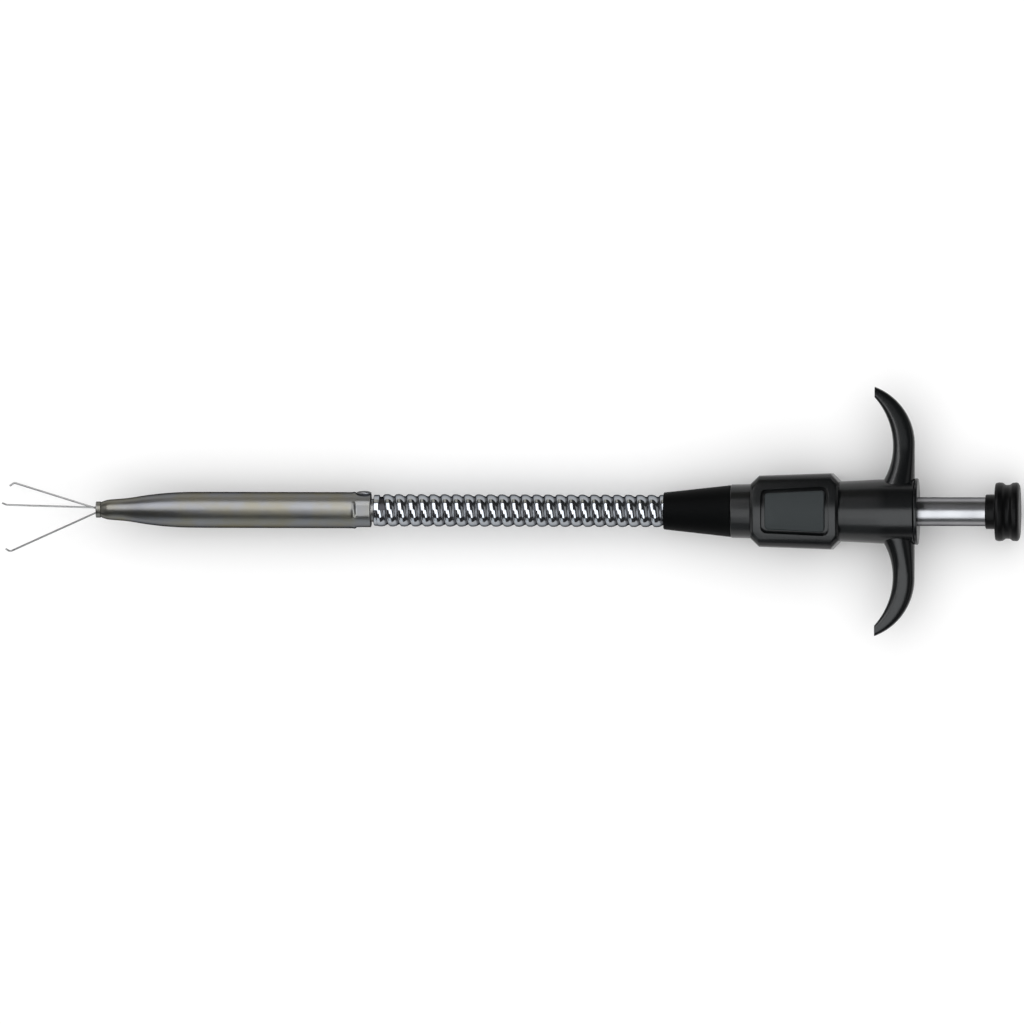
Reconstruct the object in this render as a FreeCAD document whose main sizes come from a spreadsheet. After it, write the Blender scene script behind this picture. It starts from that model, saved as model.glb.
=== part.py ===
import FreeCAD, Part
import math
import os
import re

import Sketcher

V = FreeCAD.Vector
doc = FreeCAD.newDocument("claw_grasper")

# Driving dimensions, in mm and degrees. Stations run along X: the claws point to -X, the thumb knob to +X.
SIZES = [
    # handle housing, whose middle is at X = 0 and whose flat underside is at Z = 0
    ("housing_front", "-11.1"),
    ("housing_back", "11.3"),
    ("housing_width_front", "18.1"),
    ("housing_width_back", "19.4"),
    ("housing_depth", "18.4"),
    ("housing_end_chamfer", "2.1"),
    ("housing_edge_round", "1.8"),
    ("cutter_overrun", "1"),
    # bare panel in its recess on the upper face
    ("recess_front", "-8.4"),
    ("recess_back", "8.8"),
    ("recess_width_front", "11.2"),
    ("recess_width_back", "12.7"),
    ("recess_depth", "1.5"),
    ("recess_corner", "1.6"),
    ("panel_groove", "1.0"),
    ("panel_corner", "0.9"),
    ("panel_thickness", "1.3"),
    ("panel_edge_round", "0.3"),
    # barrel, spring chamber and end cap
    ("barrel_length", "19.1"),
    ("barrel_radius_front", "7.65"),
    ("barrel_radius_back", "8.15"),
    ("barrel_swell_length", "10.5"),
    ("barrel_rear_round", "0.4"),
    ("chamber_radius", "4.95"),
    ("chamber_floor", "-8.8"),
    ("cap_flange_thickness", "0.9"),
    ("cap_flange_radius", "8.45"),
    ("cap_flange_round", "0.35"),
    ("cap_spigot_length", "4.4"),
    ("thread_clearance", "0.05"),
    # finger wings, as distances in front of the barrel's rear end and out from the axis
    ("wing_rear_inset", "0.1"),
    ("wing_root_out", "4.6"),
    ("wing_root_front", "10.5"),
    ("wing_waist_out", "16.6"),
    ("wing_waist_front", "5.6"),
    ("wing_knee_out", "17"),
    ("wing_tip_out", "31.8"),
    ("wing_tip_front", "10.3"),
    ("wing_tip_width", "2.9"),
    ("wing_root_thickness", "7.2"),
    ("wing_tip_thickness", "2.6"),
    ("wing_edge_round", "1.0"),
    # rod, stop ring and spring
    ("rod_radius", "3.65"),
    ("rod_clearance", "0.06"),
    ("rod_exposed", "17.1"),
    ("rod_chamfer", "0.4"),
    ("rod_nose_length", "4"),
    ("rod_stud_radius", "2.4"),
    ("rod_stud_length", "6.5"),
    ("plunger_travel", "18"),
    ("stop_gap", "0.2"),
    ("ring_thickness", "0.9"),
    ("ring_seat_depth", "0.35"),
    ("ring_outer_radius", "4.35"),
    ("washer_thickness", "0.6"),
    ("spring_wire", "0.7"),
    ("spring_coil_radius", "4.15"),
    ("spring_turns", "5.5"),
    ("spring_seat_gap", "0.05"),
    # cable and what is crimped to it
    ("cable_radius", "0.5"),
    ("cable_clearance", "0.06"),
    ("cable_seat_depth", "2.5"),
    ("nipple_radius", "1.5"),
    ("nipple_length", "4.5"),
    ("cable_way_radius", "1.6"),
    ("carrier_radius", "1.45"),
    ("carrier_length", "6.5"),
    ("carrier_chamfer", "0.35"),
    ("carrier_gap", "0.35"),
    # thumb knob
    ("knob_neck_radius", "4.4"),
    ("knob_neck_length", "2.5"),
    ("knob_length", "8.8"),
    ("knob_rim_radius", "7.5"),
    ("knob_waist_depth", "0.65"),
    ("knob_rim_round", "0.5"),
    ("knob_rim_width", "1.9"),
    ("knob_bore_clearance", "0.05"),
    # collar and cone that take the hose
    ("collar_length", "5.3"),
    ("collar_radius_front", "6.78"),
    ("collar_radius_back", "6.92"),
    ("collar_round", "0.3"),
    ("cone_length", "17.2"),
    ("cone_radius_front", "4.7"),
    ("cone_radius_back", "6.6"),
    ("cone_round", "0.3"),
    ("hose_seat_depth", "3.2"),
    ("hose_seat_clearance", "0.08"),
    ("anchor_radius", "3.6"),
    ("anchor_seat_depth", "1.6"),
    # hose of nested sleeves with two turns of rib each
    ("hose_length", "74.7"),
    ("link_count", "12"),
    ("turns_per_link", "2"),
    ("turn_pitch", "2.93"),
    ("hose_gap", "0.8"),
    ("rib_crest_radius", "4.12"),
    ("rib_valley_radius", "3.55"),
    ("groove_width", "0.8"),
    ("mouth_bore_radius", "3.3"),
    ("tongue_radius", "2.9"),
    ("tongue_reach", "0.8"),
    ("tongue_bore_radius", "2.45"),
    # nozzle
    ("nozzle_length", "70.2"),
    ("nozzle_radius", "4.6"),
    ("nozzle_wall", "0.5"),
    ("mouth_radius", "1.8"),
    ("lip_wall", "0.25"),
    ("lip_length", "1.15"),
    ("lip_round", "0.1"),
    ("lip_groove_depth", "0.13"),
    ("lip_groove_width", "0.2"),
    ("flare_radius", "2.6"),
    ("flare_end", "3.3"),
    ("neck_radius", "2.98"),
    ("neck_end", "8.0"),
    ("ogive_end", "28.0"),
    ("crimp_length", "4.2"),
    ("crimp_width", "4.2"),
    ("crimp_depth", "0.25"),
    ("crimp_inset", "0.5"),
    ("crimp_count", "4"),
    ("bush_length", "9"),
    ("bush_clearance", "0.03"),
    # claws: one wire each, splayed from the mouth
    ("wire_radius", "0.25"),
    ("wire_tail", "2.2"),
    ("wire_side_offset", "0.47"),
    ("hook_bend_radius", "0.7"),
    ("splay_upper", "21.5"),
    ("splay_middle", "22"),
    ("splay_lower", "26"),
    ("azimuth_upper", "130"),
    ("azimuth_middle", "4"),
    ("azimuth_lower", "-114"),
    ("reach_upper", "22.7"),
    ("reach_middle", "23.4"),
    ("reach_lower", "24.3"),
    ("mouth_offset_upper", "0.8"),
    ("mouth_offset_middle", "0.8"),
    ("mouth_offset_lower", "0.65"),
    ("hook_turn_upper", "51"),
    ("hook_turn_middle", "50"),
    ("hook_turn_lower", "74"),
    ("hook_length", "1.1"),
    ("hook_lean", "28"),
]

# Sizes that follow from the driving ones.
DERIVED = {
    "axis_height": "housing_depth / 2",
    "barrel_back": "housing_back + barrel_length",
    "flange_back": "barrel_back + cap_flange_thickness",
    "spigot_front": "barrel_back - cap_spigot_length",
    "rod_bore": "rod_radius + rod_clearance",
    "knob_front": "flange_back + rod_exposed",
    "knob_back": "knob_front + knob_length",
    "ring_back": "spigot_front - plunger_travel - stop_gap",
    "ring_front": "ring_back - ring_thickness",
    "washer_front": "ring_front - washer_thickness",
    "rod_front": "washer_front - rod_nose_length",
    "spring_front": "chamber_floor + spring_seat_gap",
    "spring_back": "washer_front - spring_seat_gap",
    "collar_front": "housing_front - collar_length",
    "cone_front": "collar_front - cone_length",
    "nozzle_back": "cone_front - hose_length",
    "mouth": "nozzle_back - nozzle_length",
    "hose_end": "cone_front + hose_seat_depth",
    "link_length": "turns_per_link * turn_pitch",
    "cable_way": "cable_radius + cable_clearance",
    "nozzle_bore": "nozzle_radius - nozzle_wall",
    "carrier_front": "mouth + wire_tail + carrier_gap",
    "carrier_back": "carrier_front + carrier_length",
}

sheet = doc.addObject("Spreadsheet::Sheet", "Sizes")
for row, (alias, number) in enumerate(SIZES, start=1):
    sheet.set(f"A{row}", alias)
    sheet.set(f"B{row}", number)
    sheet.setAlias(f"B{row}", alias)
doc.recompute()

WORD = re.compile(r"\b[a-z][a-z_]+\b(?!\()")


def formula(text):
    """An expression on the sheet, with the derived sizes written out."""

    def cell(found):
        name = found.group(0)
        if name in DERIVED:
            return "(" + formula(DERIVED[name]) + ")"
        return "Sizes." + name

    return WORD.sub(cell, str(text))


def value(text):
    """The number that an expression on the sheet gives."""
    return float(sheet.evalExpression(formula(text)))


def bind(thing, prop, text):
    thing.setExpression(prop, formula(text))


def lift(thing):
    """Puts a piece that is drawn round the X axis on the tool's axis."""
    bind(thing, "Placement.Base.z", "axis_height")


def new_body(label):
    body = doc.addObject("PartDesign::Body", label)
    body.Label = label
    return body


def origin_plane(body, role):
    return next(f for f in body.Origin.OriginFeatures if f.Role == role)


def sketch_on(body, role, name):
    sketch = body.newObject("Sketcher::SketchObject", name)
    sketch.AttachmentSupport = [(origin_plane(body, role), "")]
    sketch.MapMode = "FlatFace"
    return sketch


def hold_point(sketch, edge, end, along, across):
    """Holds one end of an edge at a place given by two expressions."""
    for kind, text in (("DistanceX", along), ("DistanceY", across)):
        number = value(text)
        if abs(number) < 1e-9:
            axis = -2 if kind == "DistanceX" else -1
            sketch.addConstraint(Sketcher.Constraint("PointOnObject", edge, end, axis))
            continue
        held = sketch.addConstraint(Sketcher.Constraint(kind, -1, 1, edge, end, number))
        sketch.setExpression(f"Constraints[{held}]", formula(text))


def arc_between(start, end, radius):
    """The arc from start to end, anticlockwise, that bulges left of the way for a positive radius."""
    chord = end - start
    left = V(-chord.y, chord.x, 0).normalize()
    depth = math.sqrt(radius**2 - (chord.Length / 2) ** 2)
    centre = (start + end) / 2 - left * math.copysign(depth, radius)
    first, last = (end, start) if radius > 0 else (start, end)
    angles = [math.atan2(spot.y - centre.y, spot.x - centre.x) for spot in (first, last)]
    return Part.ArcOfCircle(Part.Circle(centre, V(0, 0, 1), abs(radius)), *angles)


def outline(sketch, points):
    """A closed outline. A point is (along, across), or (along, across, radius) where an arc leads to it."""
    spots = [V(value(p[0]), value(p[1]), 0) for p in points]
    turned = [len(p) == 3 and value(p[2]) > 0 for p in points]
    for index, point in enumerate(points):
        start, end = spots[index - 1], spots[index]
        if len(point) == 2:
            sketch.addGeometry(Part.LineSegment(start, end), False)
        else:
            sketch.addGeometry(arc_between(start, end, value(point[2])), False)
    for index, point in enumerate(points):
        after = (index + 1) % len(points)
        here = 1 if turned[index] else 2
        there = 2 if turned[after] else 1
        sketch.addConstraint(Sketcher.Constraint("Coincident", index, here, after, there))
        hold_point(sketch, index, here, point[0], point[1])
        if len(point) == 3:
            bend = sketch.addConstraint(Sketcher.Constraint("Radius", index, abs(value(point[2]))))
            sketch.setExpression(f"Constraints[{bend}]", formula(f"abs({point[2]})"))


def tangent_radius(off, along):
    """The radius of an arc that starts along a line and comes a distance off it over a length along it."""
    return f"((({off})^2 + ({along})^2) / (2 * ({off})))"


def revolved(label, points):
    """A piece turned round the tool's axis, from points (along X, radius)."""
    body = new_body(label)
    sketch = sketch_on(body, "XY_Plane", label + "_profile")
    outline(sketch, points)
    turn = body.newObject("PartDesign::Revolution", label + "_turned")
    turn.Profile = sketch
    turn.ReferenceAxis = (sketch, ["H_Axis"])
    turn.Angle = 360
    lift(body)
    return body


def padded(body, name, points, half_depth):
    """A pad of an outline in the body's XY plane, as deep above the plane as below it."""
    sketch = sketch_on(body, "XY_Plane", name + "_outline")
    outline(sketch, points)
    pad = body.newObject("PartDesign::Pad", name + "_pad")
    pad.Profile = sketch
    pad.Midplane = True
    bind(pad, "Length", f"2 * ({half_depth})")
    return pad


def edges_where(shape, wanted):
    return [f"Edge{i}" for i, edge in enumerate(shape.Edges, start=1) if wanted(edge)]


def runs_along_x(edge):
    ends = [v.Point for v in edge.Vertexes]
    if len(ends) < 2:
        return False
    run = ends[1] - ends[0]
    return abs(run.x) > 0.95 * run.Length


# Nozzle: a thin tube with a rolled mouth, a long ogive and four crimps pressed into its rear end.
def make_nozzle():
    lip = "mouth_radius + lip_wall"
    groove = f"{lip} - lip_groove_depth"
    lip_end, flare_start = "mouth + lip_length", "mouth + lip_length + lip_groove_width"
    flare_end, neck_end, ogive_end = "mouth + flare_end", "mouth + neck_end", "mouth + ogive_end"
    flare = tangent_radius(f"flare_radius - ({lip})", "flare_end - lip_length - lip_groove_width")
    inner_flare = tangent_radius("flare_radius - nozzle_wall - mouth_radius", "flare_end - lip_length")
    ogive = tangent_radius("nozzle_radius - neck_radius", "ogive_end - neck_end")
    body = revolved(
        "nozzle",
        [
            ("mouth + lip_round", "mouth_radius", "lip_round"),
            (lip_end, "mouth_radius"),
            (flare_end, "flare_radius - nozzle_wall", inner_flare),
            (neck_end, "neck_radius - nozzle_wall"),
            (ogive_end, "nozzle_bore", ogive),
            ("nozzle_back", "nozzle_bore"),
            ("nozzle_back", "nozzle_radius"),
            (ogive_end, "nozzle_radius"),
            (neck_end, "neck_radius", f"0 - {ogive}"),
            (flare_end, "flare_radius"),
            (flare_start, lip, f"0 - {flare}"),
            (flare_start, groove),
            (lip_end, groove),
            (lip_end, lip),
            ("mouth + lip_round", lip),
            ("mouth", f"{lip} - lip_round", "lip_round"),
            ("mouth", "mouth_radius + lip_round"),
        ],
    )
    sketch = sketch_on(body, "XY_Plane", "crimp_outline")
    sketch.AttachmentOffset = FreeCAD.Placement(V(0, 0, 1), FreeCAD.Rotation())
    bind(sketch, "AttachmentOffset.Base.z", "nozzle_radius - crimp_depth")
    outline(
        sketch,
        [
            ("nozzle_back - crimp_inset", "-crimp_width / 2"),
            ("nozzle_back - crimp_inset", "crimp_width / 2"),
            ("nozzle_back - crimp_inset - crimp_length", "crimp_width / 2"),
            ("nozzle_back - crimp_inset - crimp_length", "-crimp_width / 2"),
        ],
    )
    crimp = body.newObject("PartDesign::Pocket", "crimp")
    crimp.Profile = sketch
    crimp.Reversed = True
    bind(crimp, "Length", "nozzle_radius")
    doc.recompute()
    ring = body.newObject("PartDesign::PolarPattern", "crimps")
    ring.Originals = [crimp]
    ring.Axis = (next(f for f in body.Origin.OriginFeatures if f.Role == "X_Axis"), [""])
    ring.Angle = 360
    bind(ring, "Occurrences", "crimp_count")
    body.Tip = ring
    return body


def make_nozzle_bush():
    """Bush crimped into the nozzle, with a tongue that the hose's front mouth goes over."""
    return revolved(
        "nozzle_bush",
        [
            ("nozzle_back - bush_length", "tongue_bore_radius"),
            ("nozzle_back + hose_gap + tongue_reach", "tongue_bore_radius"),
            ("nozzle_back + hose_gap + tongue_reach", "tongue_radius"),
            ("nozzle_back", "tongue_radius"),
            ("nozzle_back", "nozzle_bore - bush_clearance"),
            ("nozzle_back - bush_length", "nozzle_bore - bush_clearance"),
        ],
    )


# Hose: each sleeve's rear tongue reaches into the next sleeve's wide front mouth, so that they can tilt.
def make_hose_link(number):
    count = int(value("link_count"))
    first = number == 1
    front = f"nozzle_back + hose_gap + {count - number} * link_length"
    back = "hose_end" if first else f"{front} + link_length - hose_gap"
    tongue_end = f"{back} + hose_gap + tongue_reach"
    turns = int(value("turns_per_link"))
    if first:
        turns = round((value(back) - value(front)) / value("turn_pitch"))
        points = [(front, "mouth_bore_radius"), (back, "mouth_bore_radius")]
    else:
        mouth_end = f"{front} + 2 * tongue_reach"
        points = [
            (front, "mouth_bore_radius"),
            (mouth_end, "mouth_bore_radius"),
            (mouth_end, "tongue_bore_radius"),
            (tongue_end, "tongue_bore_radius"),
            (tongue_end, "tongue_radius"),
            (back, "tongue_radius"),
        ]
    points.append((back, "rib_crest_radius"))
    for turn in reversed(range(1, turns)):
        rise = f"{front} + {turn} * turn_pitch"
        points += [
            (rise, "rib_crest_radius"),
            (rise, "rib_valley_radius"),
            (f"{rise} - groove_width", "rib_valley_radius"),
            (f"{rise} - groove_width", "rib_crest_radius"),
        ]
    points.append((front, "rib_crest_radius"))
    return revolved(f"hose_link_{number:02d}", points)


def make_hose_anchor():
    """Bush inside the cone and the handle, whose front spigot the hose's rear end is crimped to."""
    return revolved(
        "hose_anchor",
        [
            ("hose_end - hose_seat_depth", "cable_way_radius"),
            ("housing_front + anchor_seat_depth", "cable_way_radius"),
            ("housing_front + anchor_seat_depth", "anchor_radius"),
            ("hose_end", "anchor_radius"),
            ("hose_end", "mouth_bore_radius - hose_seat_clearance"),
            ("hose_end - hose_seat_depth", "mouth_bore_radius - hose_seat_clearance"),
        ],
    )


def make_strain_cone():
    seat = "rib_crest_radius + hose_seat_clearance"
    return revolved(
        "strain_cone",
        [
            ("cone_front", seat),
            ("hose_end", seat),
            ("hose_end", "anchor_radius + hose_seat_clearance"),
            ("collar_front", "anchor_radius + hose_seat_clearance"),
            ("collar_front", "cone_radius_back"),
            ("cone_front + cone_round", "cone_radius_front"),
            ("cone_front", "cone_radius_front - cone_round", "cone_round"),
        ],
    )


def make_locking_collar():
    return revolved(
        "locking_collar",
        [
            ("collar_front", "anchor_radius + hose_seat_clearance"),
            ("housing_front", "anchor_radius + hose_seat_clearance"),
            ("housing_front", "collar_radius_back - collar_round"),
            ("housing_front - collar_round", "collar_radius_back", "0 - collar_round"),
            ("collar_front + collar_round", "collar_radius_front"),
            ("collar_front", "collar_radius_front - collar_round", "0 - collar_round"),
        ],
    )


# Handle body: housing with chamfered ends, barrel and finger wings in one moulding.
def make_housing():
    body = new_body("housing_block")
    front, back, ends = "housing_front", "housing_back", "housing_end_chamfer"
    wide_front, wide_back = "housing_width_front / 2", "housing_width_back / 2"
    padded(
        body,
        "housing",
        [
            (front, f"{ends} - {wide_front}"),
            (f"{front} + {ends}", f"0 - {wide_front}"),
            (f"{back} - {ends}", f"0 - {wide_back}"),
            (back, f"{ends} - {wide_back}"),
            (back, f"{wide_back} - {ends}"),
            (f"{back} - {ends}", wide_back),
            (f"{front} + {ends}", wide_front),
            (front, f"{wide_front} - {ends}"),
        ],
        "axis_height",
    )
    for name, end, inwards in (("front", front, "1"), ("back", back, "-1")):
        for side, up in (("top", "1"), ("bottom", "-1")):
            sketch = sketch_on(body, "XZ_Plane", f"{name}_{side}_slope")
            outline(
                sketch,
                [
                    (end, f"{up} * (axis_height - {ends})"),
                    (f"{end} + {inwards} * {ends}", f"{up} * axis_height"),
                    (end, f"{up} * axis_height"),
                ],
            )
            cut = body.newObject("PartDesign::Pocket", f"{name}_{side}_cut")
            cut.Profile = sketch
            cut.Midplane = True
            bind(cut, "Length", "2 * housing_width_back")
    doc.recompute()
    block = body.Tip
    corners = edges_where(
        block.Shape,
        lambda e: runs_along_x(e)
        and e.Length > 0.7 * value("housing_back - housing_front")
        and abs(e.CenterOfMass.y) > 1,
    )
    rounding = body.newObject("PartDesign::Fillet", "housing_rounds")
    rounding.Base = (block, corners)
    bind(rounding, "Radius", "housing_edge_round")
    body.Tip = rounding
    return body


def recess_points(gap):
    """The outline of the recess, or of the panel in it, a gap inside the recess's wall."""
    front, back = f"recess_front + {gap}", f"recess_back - {gap}"
    low, high = f"recess_width_front / 2 - {gap}", f"recess_width_back / 2 - {gap}"
    return [(front, f"0 - ({low})"), (back, f"0 - ({high})"), (back, high), (front, low)]


def slab(label, gap, bottom, thickness, corner):
    """A flat piece with the recess's outline and round corners, from a given height upwards."""
    body = new_body(label)
    sketch = sketch_on(body, "XY_Plane", label + "_outline")
    outline(sketch, recess_points(gap))
    pad = body.newObject("PartDesign::Pad", label + "_pad")
    pad.Profile = sketch
    bind(pad, "Length", thickness)
    doc.recompute()
    rounding = body.newObject("PartDesign::Fillet", label + "_corners")
    uprights = edges_where(
        pad.Shape, lambda e: abs(e.Vertexes[0].Point.z - e.Vertexes[1].Point.z) > 1e-4
    )
    rounding.Base = (pad, uprights)
    bind(rounding, "Radius", corner)
    body.Tip = rounding
    bind(body, "Placement.Base.z", bottom)
    doc.recompute()
    return body


def make_inset_panel():
    body = slab(
        "inset_panel", "panel_groove", "housing_depth - recess_depth", "panel_thickness", "panel_corner"
    )
    top = value("panel_thickness")
    plate = body.Tip
    rim = edges_where(plate.Shape, lambda e: all(abs(v.Point.z - top) < 1e-6 for v in e.Vertexes))
    rounding = body.newObject("PartDesign::Fillet", "panel_rim")
    rounding.Base = (plate, rim)
    bind(rounding, "Radius", "panel_edge_round")
    body.Tip = rounding
    return body


def make_barrel():
    swell = tangent_radius("barrel_radius_back - barrel_radius_front", "barrel_swell_length")
    return revolved(
        "barrel_block",
        [
            ("housing_back - housing_end_chamfer", "0"),
            ("barrel_back", "0"),
            ("barrel_back", "barrel_radius_back - barrel_rear_round"),
            ("barrel_back - barrel_rear_round", "barrel_radius_back", "0 - barrel_rear_round"),
            ("housing_back + barrel_swell_length", "barrel_radius_back"),
            ("housing_back", "barrel_radius_front", f"0 - {swell}"),
            ("housing_back - housing_end_chamfer", "barrel_radius_front"),
        ],
    )


def make_wing(label, turn):
    """A finger wing: a blade with round edges that hooks forward and gets thinner towards its tip."""
    body = new_body(label)
    rear, root = "barrel_back - wing_rear_inset", "barrel_back - wing_root_front"
    waist, tip = "barrel_back - wing_waist_front", "barrel_back - wing_tip_front"
    tip_in = "wing_tip_out - wing_tip_width"
    back_bend = tangent_radius("wing_tip_front - wing_rear_inset", "wing_tip_out - wing_knee_out")
    hook_bend = tangent_radius("wing_tip_front - wing_waist_front", f"{tip_in} - wing_waist_out")
    root_bend = tangent_radius("wing_root_front - wing_waist_front", "wing_waist_out - wing_root_out")
    padded(
        body,
        label,
        [
            (rear, "wing_root_out"),
            (rear, "wing_knee_out"),
            (tip, "wing_tip_out", f"0 - {back_bend}"),
            (tip, tip_in),
            (waist, "wing_waist_out", hook_bend),
            (root, "wing_root_out", root_bend),
        ],
        "wing_root_thickness / 2",
    )
    for name, up in (("upper", "1"), ("lower", "-1")):
        sketch = sketch_on(body, "YZ_Plane", f"{label}_{name}_taper")
        outline(
            sketch,
            [
                ("wing_root_out", f"{up} * wing_root_thickness / 2"),
                ("wing_tip_out", f"{up} * wing_tip_thickness / 2"),
                ("wing_tip_out + cutter_overrun", f"{up} * wing_tip_thickness / 2"),
                ("wing_tip_out + cutter_overrun", f"{up} * (wing_root_thickness / 2 + cutter_overrun)"),
                ("wing_root_out", f"{up} * (wing_root_thickness / 2 + cutter_overrun)"),
            ],
        )
        cut = body.newObject("PartDesign::Pocket", f"{label}_{name}_cut")
        cut.Profile = sketch
        cut.Midplane = True
        bind(cut, "Length", "4 * barrel_back")
    doc.recompute()
    tapered = body.Tip
    root = value("wing_root_out")
    rims = edges_where(
        tapered.Shape,
        lambda e: min(v.Point.z for v in e.Vertexes) * max(v.Point.z for v in e.Vertexes) > 0
        and e.CenterOfMass.y > root + 0.01,
    )
    rounding = body.newObject("PartDesign::Fillet", f"{label}_rounds")
    rounding.Base = (tapered, rims)
    bind(rounding, "Radius", "wing_edge_round")
    body.Tip = rounding
    body.Placement = FreeCAD.Placement(V(), FreeCAD.Rotation(V(1, 0, 0), turn))
    lift(body)
    return body


def make_bore(label, start, end, radius):
    """A round cutter along the tool's axis."""
    bore = doc.addObject("Part::Cylinder", label)
    bore.Placement = FreeCAD.Placement(V(0, 0, 0), FreeCAD.Rotation(V(0, 1, 0), 90))
    bind(bore, "Radius", radius)
    bind(bore, "Height", f"({end}) - ({start})")
    bind(bore, "Placement.Base.x", start)
    lift(bore)
    return bore


def make_handle_body():
    solid = doc.addObject("Part::MultiFuse", "handle_solid")
    solid.Shapes = [
        make_housing_lifted(),
        make_barrel(),
        make_wing("wing_left", 0),
        make_wing("wing_right", 180),
    ]
    hollow = doc.addObject("Part::MultiFuse", "handle_hollow")
    hollow.Shapes = [
        make_bore(
            "anchor_seat",
            "housing_front - cutter_overrun",
            "housing_front + anchor_seat_depth",
            "anchor_radius + hose_seat_clearance",
        ),
        make_bore("cable_way", "housing_front", "chamber_floor + cutter_overrun", "cable_way_radius"),
        make_bore("spring_chamber", "chamber_floor", "barrel_back + cutter_overrun", "chamber_radius"),
        slab(
            "panel_recess",
            "0",
            "housing_depth - recess_depth",
            "recess_depth + cutter_overrun",
            "recess_corner",
        ),
    ]
    handle = doc.addObject("Part::Cut", "handle_body")
    handle.Base = solid
    handle.Tool = hollow
    handle.Label = "handle_body"
    return handle


def make_housing_lifted():
    housing = make_housing()
    lift(housing)
    return housing


def make_end_cap():
    """Flanged bush that screws into the barrel and guides the rod."""
    return revolved(
        "end_cap",
        [
            ("spigot_front", "rod_bore"),
            ("flange_back", "rod_bore"),
            ("flange_back", "cap_flange_radius - cap_flange_round"),
            ("flange_back - cap_flange_round", "cap_flange_radius", "0 - cap_flange_round"),
            ("barrel_back", "cap_flange_radius"),
            ("barrel_back", "chamber_radius - thread_clearance"),
            ("spigot_front", "chamber_radius - thread_clearance"),
        ],
    )


def make_plunger_rod():
    seat = "nipple_radius + cable_clearance"
    groove = "rod_radius - ring_seat_depth"
    return revolved(
        "plunger_rod",
        [
            ("rod_front", seat),
            ("rod_front + nipple_length", seat),
            ("rod_front + nipple_length", "0"),
            ("knob_front + rod_stud_length", "0"),
            ("knob_front + rod_stud_length", "rod_stud_radius"),
            ("knob_front", "rod_stud_radius"),
            ("knob_front", "rod_radius"),
            ("ring_back", "rod_radius"),
            ("ring_back", groove),
            ("ring_front", groove),
            ("ring_front", "rod_radius"),
            ("rod_front + rod_chamfer", "rod_radius"),
            ("rod_front", "rod_radius - rod_chamfer"),
        ],
    )


def ring_piece(label, front, back, inner, outer):
    return revolved(label, [(front, inner), (back, inner), (back, outer), (front, outer)])


def make_retaining_ring():
    return ring_piece(
        "retaining_ring", "ring_front", "ring_back",
        "rod_radius - ring_seat_depth", "ring_outer_radius",
    )


def make_spring_washer():
    return ring_piece("spring_washer", "washer_front", "ring_front", "rod_bore", "ring_outer_radius")


def make_return_spring():
    """Compression spring of square wire, shown pressed as it is while the claws are out."""
    body = new_body("return_spring")
    sketch = sketch_on(body, "XY_Plane", "spring_section")
    low = "spring_coil_radius - spring_wire / 2"
    high = "spring_coil_radius + spring_wire / 2"
    outline(
        sketch,
        [
            ("spring_front", low),
            ("spring_front + spring_wire", low),
            ("spring_front + spring_wire", high),
            ("spring_front", high),
        ],
    )
    coil = body.newObject("PartDesign::AdditiveHelix", "spring_coils")
    coil.Profile = sketch
    coil.ReferenceAxis = (sketch, ["H_Axis"])
    coil.Mode = 2
    bind(coil, "Height", "spring_back - spring_front - spring_wire")
    bind(coil, "Turns", "spring_turns")
    lift(body)
    return body


def make_cable_nipple():
    """Sleeve crimped on the cable's rear end, seated in the rod."""
    return ring_piece(
        "cable_nipple", "rod_front", "rod_front + nipple_length", "cable_way", "nipple_radius"
    )


def make_cable(label, start, end):
    """A straight stretch of the pull cable."""
    cable = make_bore(label, start, end, "cable_radius")
    cable.Label = label
    return cable


def make_claw_carrier():
    """Sleeve that holds the claw wires' roots at its front and the pull cable at its rear."""
    return revolved(
        "claw_carrier",
        [
            ("carrier_front", "0"),
            ("carrier_back - cable_seat_depth", "0"),
            ("carrier_back - cable_seat_depth", "cable_way"),
            ("carrier_back", "cable_way"),
            ("carrier_back", "carrier_radius - carrier_chamfer"),
            ("carrier_back - carrier_chamfer", "carrier_radius"),
            ("carrier_front + carrier_chamfer", "carrier_radius"),
            ("carrier_front", "carrier_radius - carrier_chamfer"),
        ],
    )


# Thumb knob: a neck, then a spool with two rounded rims, a waist and a flat end.
def make_thumb_knob():
    rim_in, rim_out = "knob_front + knob_neck_length", "knob_back"
    bore = "rod_stud_radius + knob_bore_clearance"
    shoulder = "knob_rim_radius - knob_rim_round"
    waist = "knob_rim_radius - knob_waist_depth"
    around = "0 - knob_rim_round"
    return revolved(
        "thumb_knob",
        [
            ("knob_front", bore),
            ("knob_front + rod_stud_length", bore),
            ("knob_front + rod_stud_length", "0"),
            (rim_out, "0"),
            (rim_out, shoulder),
            (f"{rim_out} - knob_rim_round", "knob_rim_radius", around),
            (f"{rim_out} - knob_rim_width + knob_rim_round", "knob_rim_radius"),
            (f"{rim_out} - knob_rim_width", shoulder, around),
            (f"{rim_out} - knob_rim_width", waist),
            (f"{rim_in} + knob_rim_width", waist),
            (f"{rim_in} + knob_rim_width", shoulder),
            (f"{rim_in} + knob_rim_width - knob_rim_round", "knob_rim_radius", around),
            (f"{rim_in} + knob_rim_round", "knob_rim_radius"),
            (rim_in, shoulder, around),
            (rim_in, "knob_neck_radius"),
            ("knob_front", "knob_neck_radius"),
        ],
    )


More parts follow.
